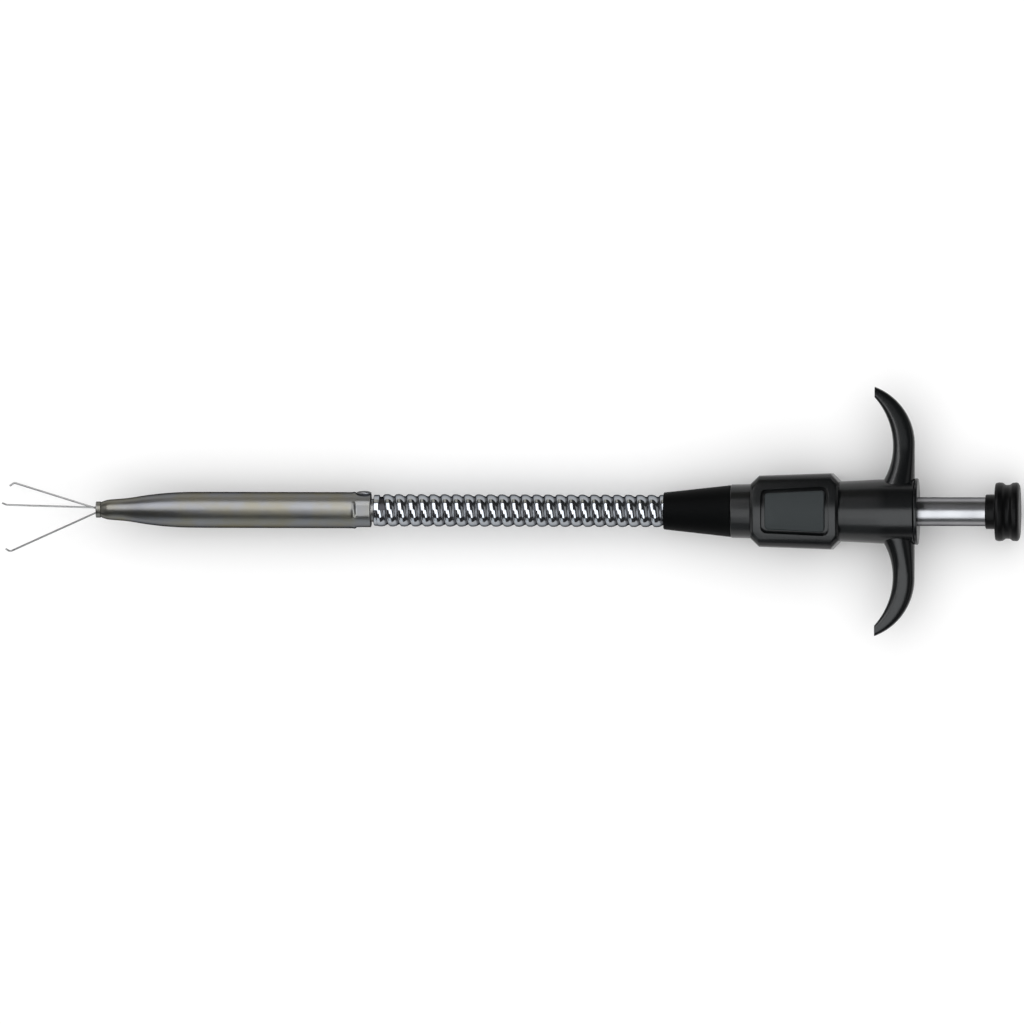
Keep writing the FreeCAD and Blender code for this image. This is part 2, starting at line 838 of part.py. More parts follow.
def make_claw(which):
    """A claw wire: a straight run from its tail through the mouth, a tight bend and a short hook."""
    label = f"claw_{which}"
    straight = value(f"wire_tail + reach_{which}")
    bend, turn = value("hook_bend_radius"), math.radians(value(f"hook_turn_{which}"))
    hook = value("hook_length")
    bend_at = V(-straight, 0, 0)
    middle = bend_at + V(-bend * math.sin(turn / 2), 0, -bend * (1 - math.cos(turn / 2)))
    bend_end = bend_at + V(-bend * math.sin(turn), 0, -bend * (1 - math.cos(turn)))
    tip = bend_end + V(-math.cos(turn), 0, -math.sin(turn)) * hook
    path = Part.Wire(
        [
            Part.LineSegment(V(), bend_at).toShape(),
            Part.Arc(bend_at, middle, bend_end).toShape(),
            Part.LineSegment(bend_end, tip).toShape(),
        ]
    )
    section = Part.Wire(Part.Circle(V(), V(1, 0, 0), value("wire_radius")).toShape())
    claw = doc.addObject("Part::Feature", label)
    claw.Label = label
    claw.Shape = path.makePipeShell([section], True, False)
    splay, azimuth = value(f"splay_{which}"), value(f"azimuth_{which}")
    tail = value("wire_tail")
    slope = math.radians(splay)
    inwards = value(f"mouth_offset_{which}") - tail * math.sin(slope)
    lean = FreeCAD.Rotation(V(1, 0, 0), value("hook_lean"))
    place = FreeCAD.Placement(
        V(tail * math.cos(slope), value("wire_side_offset"), inwards),
        FreeCAD.Rotation(V(0, 1, 0), splay).multiply(lean),
    )
    around = FreeCAD.Placement(
        V(value("mouth"), 0, value("axis_height")), FreeCAD.Rotation(V(1, 0, 0), -azimuth)
    )
    claw.Placement = around.multiply(place)
    return claw


def build_all():
    pieces = [
        make_nozzle(),
        make_nozzle_bush(),
        make_hose_anchor(),
        make_strain_cone(),
        make_locking_collar(),
        make_handle_body(),
        make_inset_panel(),
        make_end_cap(),
        make_plunger_rod(),
        make_retaining_ring(),
        make_spring_washer(),
        make_return_spring(),
        make_cable_nipple(),
        make_cable("claw_cable", "carrier_back - cable_seat_depth", "nozzle_back"),
        make_cable("pull_cable", "nozzle_back", "rod_front + nipple_length"),
        make_claw_carrier(),
        make_thumb_knob(),
    ]
    pieces += [make_claw(which) for which in ("upper", "middle", "lower")]
    pieces += [make_hose_link(number) for number in range(1, int(value("link_count")) + 1)]
    return pieces


pieces = build_all()
doc.recompute()

for thing in doc.Objects:
    if any(word in ("Invalid", "Error") for word in thing.State):
        raise RuntimeError(f"{thing.Name} failed: {thing.State}")
for piece in pieces:
    if piece.Shape.isNull() or not piece.Shape.isValid() or not piece.Shape.Solids:
        raise RuntimeError(f"{piece.Label} has no sound solid")

os.makedirs("parts", exist_ok=True)
for piece in pieces:
    piece.Shape.exportStep(f"parts/{piece.Label}.step")
    print(f"{piece.Label}: {len(piece.Shape.Solids)} solid, {piece.Shape.Volume:.1f} mm3")
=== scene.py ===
import logging
import math
from collections.abc import Callable, Iterable, Sequence
from dataclasses import dataclass
from enum import Enum

import bmesh
import bpy
from mathutils import Matrix, Vector


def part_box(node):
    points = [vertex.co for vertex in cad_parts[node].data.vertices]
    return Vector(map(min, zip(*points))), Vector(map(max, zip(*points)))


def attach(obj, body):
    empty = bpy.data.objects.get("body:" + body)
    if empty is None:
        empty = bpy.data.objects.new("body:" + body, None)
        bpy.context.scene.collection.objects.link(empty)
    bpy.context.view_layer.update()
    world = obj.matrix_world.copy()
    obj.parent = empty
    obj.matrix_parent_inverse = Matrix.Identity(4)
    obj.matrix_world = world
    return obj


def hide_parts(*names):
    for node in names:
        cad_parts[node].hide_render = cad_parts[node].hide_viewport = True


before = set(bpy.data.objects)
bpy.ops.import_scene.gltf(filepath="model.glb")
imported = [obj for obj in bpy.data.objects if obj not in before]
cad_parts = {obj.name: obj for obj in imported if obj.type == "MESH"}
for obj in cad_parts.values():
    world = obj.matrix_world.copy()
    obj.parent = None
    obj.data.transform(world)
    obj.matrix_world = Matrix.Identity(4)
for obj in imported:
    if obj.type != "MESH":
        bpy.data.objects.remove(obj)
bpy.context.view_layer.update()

MM = 0.001
SHARP_FROM = 38.0
SAME_POINT = 0.000001
FINE = 128
COARSE = 64
AXIS = sum(corner.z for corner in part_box("nozzle")) / 2 / MM

Point = tuple[float, float]
Colour = tuple[float, float, float]

log = logging.getLogger("claw_grasper")


def span(node: str) -> tuple[Vector, Vector]:
    """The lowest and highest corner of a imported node, in mm.

    Args:
        node: The name of the node.

    Returns:
        Its two corners.
    """
    low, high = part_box(node)
    return low / MM, high / MM


class Field:
    """A node socket that takes part in Python arithmetic, which adds the Math nodes it needs."""

    def __init__(self, maker: "NodeMaker", socket: bpy.types.NodeSocket) -> None:
        """Keeps the tree's maker and the output socket."""
        self.maker = maker
        self.socket = socket

    def of(self, output: str | int) -> "Field":
        """Another output of the same node."""
        return Field(self.maker, self.socket.node.outputs[output])

    def _math(self, operation: str, *values: "Field | float") -> "Field":
        """A Math node on these values."""
        inputs = dict(enumerate(values))
        return self.maker.add("ShaderNodeMath", {"operation": operation}, inputs)

    def __add__(self, other: "Field | float") -> "Field":
        """The sum."""
        return self._math("ADD", self, other)

    __radd__ = __add__

    def __sub__(self, other: "Field | float") -> "Field":
        """The difference."""
        return self._math("SUBTRACT", self, other)

    def __rsub__(self, other: float) -> "Field":
        """The difference from a number."""
        return self._math("SUBTRACT", other, self)

    def __mul__(self, other: "Field | float") -> "Field":
        """The product."""
        return self._math("MULTIPLY", self, other)

    __rmul__ = __mul__

    def __truediv__(self, other: "Field | float") -> "Field":
        """The quotient."""
        return self._math("DIVIDE", self, other)

    def __pow__(self, other: float) -> "Field":
        """The power."""
        return self._math("POWER", self, other)

    def sine(self) -> "Field":
        """The sine of an angle in radians."""
        return self._math("SINE", self)

    def cosine(self) -> "Field":
        """The cosine of an angle in radians."""
        return self._math("COSINE", self)

    def rises(self, low: float, high: float) -> "Field":
        """A smooth step from 0 at low to 1 at high."""
        settings = {"interpolation_type": "SMOOTHSTEP"}
        return self.maker.add("ShaderNodeMapRange", settings, {0: self, 1: low, 2: high})


class NodeMaker:
    """Adds nodes to a shader tree or a geometry tree."""

    def __init__(self, tree: bpy.types.NodeTree) -> None:
        """Keeps the tree."""
        self.tree = tree

    def add(
        self,
        kind: str,
        settings: dict[str, object] | None = None,
        inputs: dict[str | int, object] | None = None,
        output: str | int = 0,
    ) -> Field:
        """Adds one node: its settings first, then the values or links of its sockets.

        Args:
            kind: The node's type.
            settings: Its properties. A ramp's stops and a curve's points are named stops and points.
            inputs: The value or link of each socket, by name or number.
            output: The output that the result stands for.

        Returns:
            The node's output.
        """
        node = self.tree.nodes.new(kind)
        for name, setting in (settings or {}).items():
            if name == "stops":
                self._set_stops(node, setting)
            elif name == "points":
                self._set_points(node, setting)
            else:
                setattr(node, name, setting)
        for name, given in (inputs or {}).items():
            if isinstance(given, Field):
                self.tree.links.new(given.socket, node.inputs[name])
            else:
                node.inputs[name].default_value = given
        if not node.outputs:
            return Field(self, None)
        return Field(self, node.outputs[output])

    def _set_stops(self, node: bpy.types.Node, stops: Sequence[tuple[float, Colour]]) -> None:
        """Gives a colour ramp its stops.

        Args:
            node: The colour ramp.
            stops: The place and colour of each stop.
        """
        elements = node.color_ramp.elements
        while len(elements) < len(stops):
            elements.new(1.0)
        for element, (place, colour) in zip(elements, stops):
            element.position = place
            element.color = (*colour, 1.0)

    def _set_points(self, node: bpy.types.Node, points: Sequence[Point]) -> None:
        """Gives a float curve its points.

        Args:
            node: The float curve.
            points: The place and value of each point.
        """
        curve = node.mapping.curves[0]
        while len(curve.points) < len(points):
            curve.points.new(0.5, 0.5)
        for point, place in zip(curve.points, points):
            point.location = place
        node.mapping.update()

    def mixed(self, share: Field | float, first: object, second: object) -> Field:
        """A colour between two others, by a share of the second."""
        given = {0: share, 6: rgba(first), 7: rgba(second)}
        return self.add("ShaderNodeMix", {"data_type": "RGBA"}, given, 2)

    def noise(self, at: Field, scale: float, detail: float = 3.0, roughness: float = 0.5) -> Field:
        """A noise between 0 and 1, with its scale in waves per metre."""
        given = {"Vector": at, "Scale": scale, "Detail": detail, "Roughness": roughness}
        return self.add("ShaderNodeTexNoise", {}, given)

    def stretched(self, at: Field, factors: Colour) -> Field:
        """Coordinates scaled along each axis, so that a pattern on them is drawn out."""
        return self.add("ShaderNodeMapping", {"vector_type": "POINT"}, {"Vector": at, "Scale": factors})


def rgba(colour: object) -> object:
    """A colour with its alpha, or a link as it is."""
    return colour if isinstance(colour, Field) else (*colour, 1.0)


class Slot(Enum):
    """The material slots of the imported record."""

    SPRING_WIRE = "spring_wire"
    NOZZLE_STEEL = "nozzle_steel"
    HOSE_CHROME = "hose_chrome"
    INNER_BRASS = "inner_brass"
    ROD_STEEL = "rod_steel"
    BLACK_CONE = "black_cone"
    HANDLE_PLASTIC = "handle_plastic"
    PANEL_GREY = "panel_grey"
    KNOB_BLACK = "knob_black"


@dataclass(frozen=True)
class Finish:
    """A surface finish: its slot in the record, base colour, gloss and how bright its limbs mirror."""

    slot: Slot
    colour: Colour
    roughness: float
    metallic: float = 0.0
    specular: float = 0.5
    edge: float = 1.0

    def material(self) -> bpy.types.Material:
        """Builds the node material, or gives it again if it is there.

        Returns:
            The material.
        """
        name = f"{self.slot.value}_finish"
        known = bpy.data.materials.get(name)
        if known:
            return known
        made = bpy.data.materials.new(name)
        made.use_nodes = True
        made.node_tree.nodes.clear()
        maker = NodeMaker(made.node_tree)
        at = maker.add("ShaderNodeTexCoord", output="Object")
        shader = maker.add(
            "ShaderNodeBsdfPrincipled",
            {},
            {
                "Base Color": rgba(self.colour),
                "Roughness": self.roughness,
                "Metallic": self.metallic,
                "Specular IOR Level": self.specular,
                "Specular Tint": (self.edge, self.edge, self.edge, 1.0),
            },
        )
        for socket, given in self.surface(maker, at).items():
            maker.tree.links.new(given.socket, shader.socket.node.inputs[socket])
        maker.add("ShaderNodeOutputMaterial", {}, {"Surface": shader})
        return made

    def surface(self, maker: NodeMaker, at: Field) -> dict[str, Field]:
        """What changes over the surface, by the shader's socket."""
        return {}

    def bump(self, maker: NodeMaker, height: Field, distance: float, strength: float = 1.0) -> Field:
        """A normal that is bent by a height field, with its depth in metres."""
        given = {"Height": height, "Distance": distance, "Strength": strength}
        return maker.add("ShaderNodeBump", {}, given)

    def from_axis(self, maker: NodeMaker, at: Field) -> Field:
        """The distance from the tool's axis, in mm.

        Args:
            maker: Adds the nodes.
            at: The Object coordinates.

        Returns:
            The distance.
        """
        parts = maker.add("ShaderNodeSeparateXYZ", {}, {0: at})
        across, up = parts.of(1) / MM, parts.of(2) / MM - AXIS
        return (across * across + up * up) ** 0.5


@dataclass(frozen=True)
class DrawnSteel(Finish):
    """Satin steel tube with soft smudges and faint marks along its length."""

    warm: Colour = (0.185, 0.178, 0.145)
    smudge_scale: float = 120.0
    smudge_range: Point = (0.35, 0.68)
    smudge_gloss: float = 0.12
    mark_scale: Colour = (60.0, 900.0, 900.0)
    mark_gloss: float = 0.08
    mark_depth: float = 0.000004

    def surface(self, maker: NodeMaker, at: Field) -> dict[str, Field]:
        """Mottled colour and gloss, and drawn marks in the normal.

        Args:
            maker: Adds the nodes.
            at: The Object coordinates.

        Returns:
            What changes over the surface, by the shader's socket.
        """
        smudge = maker.noise(at, self.smudge_scale, 4.0, 0.6)
        drawn = maker.noise(maker.stretched(at, self.mark_scale), 1.0, 2.0)
        patches = smudge.rises(*self.smudge_range)
        dulled = self.smudge_gloss * (smudge - 0.5) + self.mark_gloss * (drawn - 0.5)
        return {
            "Base Color": maker.mixed(patches, self.colour, self.warm),
            "Roughness": self.roughness + dulled,
            "Normal": self.bump(maker, drawn, self.mark_depth),
        }


@dataclass(frozen=True)
class WornChrome(Finish):
    """Bright plating with dull grooves and painted shade: whatever lies deeper than the ribs' crests gets a
    darker base colour.
    """

    # Painted shade: the near-black base colour that stands for the shade in the grooves.
    groove_shade_colour: Colour = (0.04, 0.04, 0.045)
    groove_radius: float = 3.5
    groove_gloss: float = 0.22
    crest_radius: float = 3.85
    scuffed: Colour = (0.26, 0.26, 0.25)
    scuff_scale: float = 900.0
    scuff_share: float = 0.35
    scuff_gloss: float = 0.10
    wave_scale: float = 420.0
    wave_depth: float = 0.000007

    def surface(self, maker: NodeMaker, at: Field) -> dict[str, Field]:
        """Painted shade darkens the base colour towards the grooves, which are also duller, with faint
        scuffs on the crests.

        Args:
            maker: Adds the nodes.
            at: The Object coordinates.

        Returns:
            What changes over the surface, by the shader's socket.
        """
        crest = self.from_axis(maker, at).rises(self.groove_radius, self.crest_radius)
        scuffs = maker.noise(at, self.scuff_scale, 4.0, 0.65)
        bright = maker.mixed(scuffs.rises(0.3, 0.8) * self.scuff_share, self.colour, self.scuffed)
        dulled = (1 - crest) * self.groove_gloss + self.scuff_gloss * (scuffs - 0.5)
        return {
            # Painted shade in the grooves: below the crest radius the base colour goes to the groove
            # colour.
            "Base Color": maker.mixed(crest, self.groove_shade_colour, bright),
            "Roughness": self.roughness + dulled,
            "Normal": self.bump(maker, maker.noise(at, self.wave_scale, 3.0), self.wave_depth),
        }


@dataclass(frozen=True)
class GroundSteel(Finish):
    """Ground and polished rod with hair-fine rings round it."""

    clouded: Colour = (0.27, 0.27, 0.28)
    cloud_scale: float = 160.0
    cloud_gloss: float = 0.05
    ring_scale: Colour = (9000.0, 40.0, 40.0)
    ring_gloss: float = 0.07
    ring_depth: float = 0.00000015

    def surface(self, maker: NodeMaker, at: Field) -> dict[str, Field]:
        """Fine rings and a slight change of gloss along the rod.

        Args:
            maker: Adds the nodes.
            at: The Object coordinates.

        Returns:
            What changes over the surface, by the shader's socket.
        """
        rings = maker.noise(maker.stretched(at, self.ring_scale), 1.0, 2.0)
        cloud = maker.noise(at, self.cloud_scale, 3.0)
        dulled = self.ring_gloss * (rings - 0.5) + self.cloud_gloss * (cloud - 0.5)
        return {
            "Base Color": maker.mixed(cloud.rises(0.3, 0.75), self.colour, self.clouded),
            "Roughness": self.roughness + dulled,
            "Normal": self.bump(maker, rings, self.ring_depth),
        }


@dataclass(frozen=True)
class MouldedPlastic(Finish):
    """Moulded plastic with a fine grain, slight flow marks and rubbed patches."""

    grain_scale: float = 2600.0
    grain_depth: float = 0.000006
    grain_gloss: float = 0.05
    rubbed: Colour = (0.03, 0.031, 0.032)
    rub_scale: float = 95.0
    rub_share: float = 0.5
    rub_gloss: float = 0.06

    def surface(self, maker: NodeMaker, at: Field) -> dict[str, Field]:
        """Grain in the normal, with rubbed patches that are a little lighter and glossier.

        Args:
            maker: Adds the nodes.
            at: The Object coordinates.

        Returns:
            What changes over the surface, by the shader's socket.
        """
        grain = maker.noise(at, self.grain_scale, 2.0)
        patches = maker.noise(at, self.rub_scale, 5.0, 0.6).rises(0.5, 0.78)
        return {
            "Base Color": maker.mixed(patches * self.rub_share, self.colour, self.rubbed),
            "Roughness": self.roughness - self.rub_gloss * patches + self.grain_gloss * (grain - 0.5),
            "Normal": self.bump(maker, grain, self.grain_depth),
        }


@dataclass(frozen=True)
class SpringSteel(Finish):
    """Drawn spring wire with a faint lengthwise grain."""

    oxide_colour: Colour = (0.22, 0.21, 0.20)
    oxide_scale: float = 700.0
    oxide_share: float = 0.6
    streak_scale: Colour = (150.0, 4000.0, 4000.0)
    streak_depth: float = 0.000002

    def surface(self, maker: NodeMaker, at: Field) -> dict[str, Field]:
        """Streaks along the tool, with spots of duller oxide.

        Args:
            maker: Adds the nodes.
            at: The Object coordinates.

        Returns:
            What changes over the surface, by the shader's socket.
        """
        streak = maker.noise(maker.stretched(at, self.streak_scale), 1.0, 2.0)
        oxide = maker.noise(at, self.oxide_scale, 4.0, 0.6).rises(0.5, 0.8)
        return {
            "Base Color": maker.mixed(oxide * self.oxide_share, self.colour, self.oxide_colour),
            "Roughness": self.roughness + 0.1 * oxide + 0.1 * (streak - 0.5),
            "Normal": self.bump(maker, streak, self.streak_depth),
        }


@dataclass(frozen=True)
class DullBrass(Finish):
    """Turned brass that is only seen through gaps."""

    tarnished: Colour = (0.20, 0.14, 0.06)
    tarnish_scale: float = 300.0
    tarnish_gloss: float = 0.2
    mark_scale: Colour = (5000.0, 60.0, 60.0)
    mark_depth: float = 0.000003

    def surface(self, maker: NodeMaker, at: Field) -> dict[str, Field]:
        """Tarnish and fine tool marks.

        Args:
            maker: Adds the nodes.
            at: The Object coordinates.

        Returns:
            What changes over the surface, by the shader's socket.
        """
        tarnish = maker.noise(at, self.tarnish_scale, 4.0).rises(0.4, 0.8)
        marks = maker.noise(maker.stretched(at, self.mark_scale), 1.0, 2.0)
        return {
            "Base Color": maker.mixed(tarnish, self.colour, self.tarnished),
            "Roughness": self.roughness + self.tarnish_gloss * tarnish,
            "Normal": self.bump(maker, marks, self.mark_depth),
        }


WIRE = SpringSteel(Slot.SPRING_WIRE, (0.42, 0.42, 0.42), 0.4, 1.0)
TUBE = DrawnSteel(Slot.NOZZLE_STEEL, (0.175, 0.18, 0.19), 0.34, 1.0, edge=0.0)
CHROME = WornChrome(Slot.HOSE_CHROME, (0.36, 0.38, 0.41), 0.12, 1.0, edge=0.0)
BRASS = DullBrass(Slot.INNER_BRASS, (0.45, 0.33, 0.14), 0.35, 1.0)
ROD = GroundSteel(Slot.ROD_STEEL, (0.31, 0.31, 0.32), 0.30, 1.0, edge=0.0)
CONE_BLACK = MouldedPlastic(Slot.BLACK_CONE, (0.0008, 0.0010, 0.0011), 0.55, specular=0.04, rub_share=0.02)
PLASTIC = MouldedPlastic(Slot.HANDLE_PLASTIC, (0.0026, 0.0031, 0.0034), 0.25, specular=0.3, rub_share=0.05)
PANEL = MouldedPlastic(
    Slot.PANEL_GREY,
    (0.016, 0.0195, 0.0205),
    0.6,
    specular=0.25,
    rubbed=(0.020, 0.024, 0.025),
    grain_scale=3400.0,
)
KNOB = MouldedPlastic(Slot.KNOB_BLACK, (0.0010, 0.0011, 0.0012), 0.4, specular=0.1, rub_share=0.03)


@dataclass(frozen=True)
class Corner:
    """A corner of a turned profile: its station, its distance from the axis and its rounding, in mm."""

    along: float
    out: float
    rounding: float = 0.0


def rounded_loop(corners: Sequence[Corner], step: float = 12.0) -> list[Point]:
    """A closed profile with an arc at each rounded corner.

    Args:
        corners: The corners in order.
        step: The largest turn between two points of an arc, in degrees.

    Returns:
        The points (along, out), in mm.
    """
    points: list[Point] = []
    for index, corner in enumerate(corners):
        here = Vector((corner.along, corner.out))
        before = corners[index - 1]
        after = corners[(index + 1) % len(corners)]
        back = Vector((before.along, before.out)) - here
        ahead = Vector((after.along, after.out)) - here
        opening = back.angle(ahead)
        if corner.rounding <= 0 or opening > math.radians(179):
            points.append((here.x, here.y))
            continue
        setback = corner.rounding / math.tan(opening / 2)
        setback = min(setback, 0.49 * back.length, 0.49 * ahead.length)
        radius = setback * math.tan(opening / 2)
        inwards = (back.normalized() + ahead.normalized()).normalized()
        middle = here + inwards * radius / math.sin(opening / 2)
        start = here + back.normalized() * setback - middle
        end = here + ahead.normalized() * setback - middle
        turn = start.angle_signed(end)
        count = max(2, math.ceil(math.degrees(abs(turn)) / step))
        for number in range(count + 1):
            arm = Matrix.Rotation(-turn * number / count, 2) @ start
            points.append((middle.x + arm.x, middle.y + arm.y))
    return points


def smooth_run(points: Sequence[Point], steps: int = 6) -> list[Point]:
    """Points along a smooth line through the given ones.

    Args:
        points: The points that the line goes through.
        steps: How many parts each stretch is cut into.

    Returns:
        The points of the smooth line.
    """
    knots = [Vector(p) for p in points]
    slopes = [knots[1] - knots[0]]
    slopes += [(knots[i + 1] - knots[i - 1]) / 2 for i in range(1, len(knots) - 1)]
    slopes.append(knots[-1] - knots[-2])
    line: list[Point] = []
    for index in range(len(knots) - 1):
        for part in range(steps):
            share = part / steps
            arrived = 3 * share**2 - 2 * share**3
            leaving = share**3 - 2 * share**2 + share
            landing = share**3 - share**2
            spot = (1 - arrived) * knots[index] + arrived * knots[index + 1]
            line.append(tuple(spot + leaving * slopes[index] + landing * slopes[index + 1]))
    line.append(tuple(knots[-1]))
    return line


Shift = Callable[[float, float, float], Point]


def new_piece(name: str, mesh: bpy.types.Mesh, finish: Finish) -> bpy.types.Object:
    """Puts a mesh in the scene with its finish, smooth apart from its sharp edges.

    Args:
        name: The piece's name.
        mesh: Its mesh.
        finish: Its finish.

    Returns:
        The new object.
    """
    mesh.name = name
    mesh.materials.clear()
    mesh.materials.append(finish.material())
    mesh.shade_smooth()
    mesh.set_sharp_from_angle(angle=math.radians(SHARP_FROM))
    piece = bpy.data.objects.new(name, mesh)
    bpy.context.scene.collection.objects.link(piece)
    return piece


def closed_mesh(bm: bmesh.types.BMesh) -> bpy.types.Mesh:
    """Merges doubles, turns the faces outwards and gives the mesh.

    Args:
        bm: The shape, which is freed.

    Returns:
        The mesh.
    """
    bmesh.ops.remove_doubles(bm, verts=bm.verts, dist=SAME_POINT)
    bmesh.ops.recalc_face_normals(bm, faces=bm.faces)
    mesh = bpy.data.meshes.new("piece")
    bm.to_mesh(mesh)
    bm.free()
    return mesh


def turned_mesh(loop: Sequence[Point], sides: int = 96, shift: Shift | None = None) -> bpy.types.Mesh:
    """A mesh turned round the tool's axis.

    Args:
        loop: The closed profile (along, out), in mm.
        sides: How many flats go round.
        shift: Moves a point, given its station, distance and angle, to a new station and distance.

    Returns:
        The mesh.
    """
    bm = bmesh.new()
    rings = []
    for along, out in loop:
        ring = []
        for side in range(sides if out > 1e-6 else 1):
            angle = 2 * math.pi * side / sides
            x, r = shift(along, out, angle) if shift else (along, out)
            spot = Vector((x, r * math.sin(angle), AXIS + r * math.cos(angle))) * MM
            ring.append(bm.verts.new(spot))
        rings.append(ring)
    for index, ring in enumerate(rings):
        other = rings[index - 1]
        if len(ring) == 1 and len(other) == 1:
            continue
        for side in range(sides):
            after = (side + 1) % sides
            corners = [ring[side % len(ring)], ring[after % len(ring)]]
            corners += [other[after % len(other)], other[side % len(other)]]
            bm.faces.new(list(dict.fromkeys(corners)))
    return closed_mesh(bm)


def crowned(bm: bmesh.types.BMesh, radius: float, reach: float) -> None:
    """Bends the upper half of a flat-topped block down on both sides of the tool's axis.

    Args:
        bm: The block, in metres.
        radius: The crown's radius, in mm.
        reach: How far the block reaches to each side, in mm.
    """
    strips = 22
    blend = 0.75 * AXIS
    for number in range(1, strips):
        side = (2 * number / strips - 1) * reach * MM
        everything = [*bm.verts, *bm.edges, *bm.faces]
        bmesh.ops.bisect_plane(bm, geom=everything, plane_co=(0, side, 0), plane_no=(0, 1, 0))
    for vert in bm.verts:
        across, up = vert.co.y / MM, vert.co.z / MM
        share = min(max((up - AXIS) / blend, 0.0), 1.0)
        drop = radius - math.sqrt(radius**2 - min(abs(across), reach) ** 2)
        vert.co.z -= share * drop * MM


def weighted(piece: bpy.types.Object) -> bpy.types.Object:
    """Shades large flats flat beside their rounded edges.

    Args:
        piece: The piece.

    Returns:
        The same piece.
    """
    normals = piece.modifiers.new("flat_faces", "WEIGHTED_NORMAL")
    normals.keep_sharp = True
    return piece


def eased(piece: bpy.types.Object, width: float, least: float) -> None:
    """Rounds a piece's sharp edges.

    Args:
        piece: The piece.
        width: The rounding's width, in mm.
        least: How much an edge turns at least to be rounded, in degrees.
    """
    ease = piece.modifiers.new("eased_edges", "BEVEL")
    ease.width = width * MM
    ease.segments = 3
    ease.limit_method = "ANGLE"
    ease.angle_limit = math.radians(least)


def turned(name: str, finish: Finish, corners: Sequence[Corner], sides: int = 96) -> bpy.types.Object:
    """A piece turned from a rounded profile."""
    return weighted(new_piece(name, turned_mesh(rounded_loop(corners), sides), finish))


def baked(piece: bpy.types.Object) -> bpy.types.Mesh:
    """The mesh that an object's modifiers give, with the object taken out of the scene.

    Args:
        piece: The object.

    Returns:
        The plain mesh.
    """
    graph = bpy.context.evaluated_depsgraph_get()
    mesh = bpy.data.meshes.new_from_object(piece.evaluated_get(graph))
    bpy.data.objects.remove(piece)
    return mesh


def mount(piece: bpy.types.Object, body: str, finish: Finish, *nodes: str) -> bpy.types.Object:
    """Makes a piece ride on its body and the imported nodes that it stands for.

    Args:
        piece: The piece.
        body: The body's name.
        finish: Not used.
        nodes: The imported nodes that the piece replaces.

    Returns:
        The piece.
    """
    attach(piece, body)
    if nodes:
        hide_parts(*nodes)
    log.info("%s rides on %s", piece.name, body)
    return piece


def dress(node: str, finish: Finish) -> None:
    """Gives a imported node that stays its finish.

    Args:
        node: The name of the node.
        finish: Its finish.
    """
    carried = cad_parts[node]
    carried.data.materials.clear()
    carried.data.materials.append(finish.material())
    log.info("%s is dressed", node)


class Recipe:
    """A Geometry Nodes tree with named inputs, used as a modifier and then turned into a plain mesh."""

    def __init__(self, name: str, inputs: Iterable[str]) -> None:
        """Makes the tree with one number input for each name.

        Args:
            name: The tree's name.
            inputs: The names of its number inputs.
        """
        self.tree = bpy.data.node_groups.new(name, "GeometryNodeTree")
        self.tree.is_modifier = True
        face = self.tree.interface
        face.new_socket(name="Geometry", in_out="INPUT", socket_type="NodeSocketGeometry")
        face.new_socket(name="Finish", in_out="INPUT", socket_type="NodeSocketMaterial")
        for each in inputs:
            face.new_socket(name=each, in_out="INPUT", socket_type="NodeSocketFloat")
        face.new_socket(name="Geometry", in_out="OUTPUT", socket_type="NodeSocketGeometry")
        self.maker = NodeMaker(self.tree)
        self.given = self.maker.add("NodeGroupInput")

    def ends(self, geometry: Field) -> None:
        """Ends the tree in real, smooth geometry that has the finish.

        Args:
            geometry: What the tree has made.
        """
        smooth = self.maker.add("GeometryNodeSetShadeSmooth", {}, {"Geometry": geometry})
        real = self.maker.add("GeometryNodeRealizeInstances", {}, {"Geometry": smooth})
        finished = {"Geometry": real, "Material": self.given.of("Finish")}
        dressed = self.maker.add("GeometryNodeSetMaterial", {}, finished)
        self.maker.add("NodeGroupOutput", {}, {"Geometry": dressed})

    def made(self, carrier: bpy.types.ID, finish: Finish, sizes: dict[str, float]) -> bpy.types.Mesh:
        """Runs the tree on a mesh or curve and gives the plain mesh.

        Args:
            carrier: The mesh or curve that the tree gets.
            finish: The finish of the result.
            sizes: The value of each named input.

        Returns:
            The mesh.
        """
        holder = bpy.data.objects.new("holder", carrier)
        bpy.context.scene.collection.objects.link(holder)
        modifier = holder.modifiers.new("recipe", "NODES")
        modifier.node_group = self.tree
        for item in self.tree.interface.items_tree:
            if item.in_out == "INPUT" and item.name in sizes:
                modifier[item.identifier] = float(sizes[item.name])
            elif item.in_out == "INPUT" and item.name == "Finish":
                modifier[item.identifier] = finish.material()
        bpy.context.view_layer.update()
        return baked(holder)


class WireRecipe(Recipe):
    """A round wire along a curve."""

    sides: int = 20

    def __init__(self) -> None:
        """Builds the tree: a circle swept along the curve, with closed ends."""
        super().__init__("wire_along_path", ["Radius"])
        circle = {"Resolution": self.sides, "Radius": self.given.of("Radius")}
        section = self.maker.add("GeometryNodeCurvePrimitiveCircle", {}, circle)
        swept = {"Curve": self.given.of("Geometry"), "Profile Curve": section, "Fill Caps": True}
        self.ends(self.maker.add("GeometryNodeCurveToMesh", {}, swept))


def path_curve(points: Sequence[Vector]) -> bpy.types.Curve:
    """A curve through points, in metres.

    Args:
        points: The points in order.

    Returns:
        The curve.
    """
    curve = bpy.data.curves.new("path", "CURVE")
    curve.dimensions = "3D"
    spline = curve.splines.new("POLY")
    spline.points.add(len(points) - 1)
    for point, spot in zip(spline.points, points):
        point.co = (*spot, 1.0)
    return curve


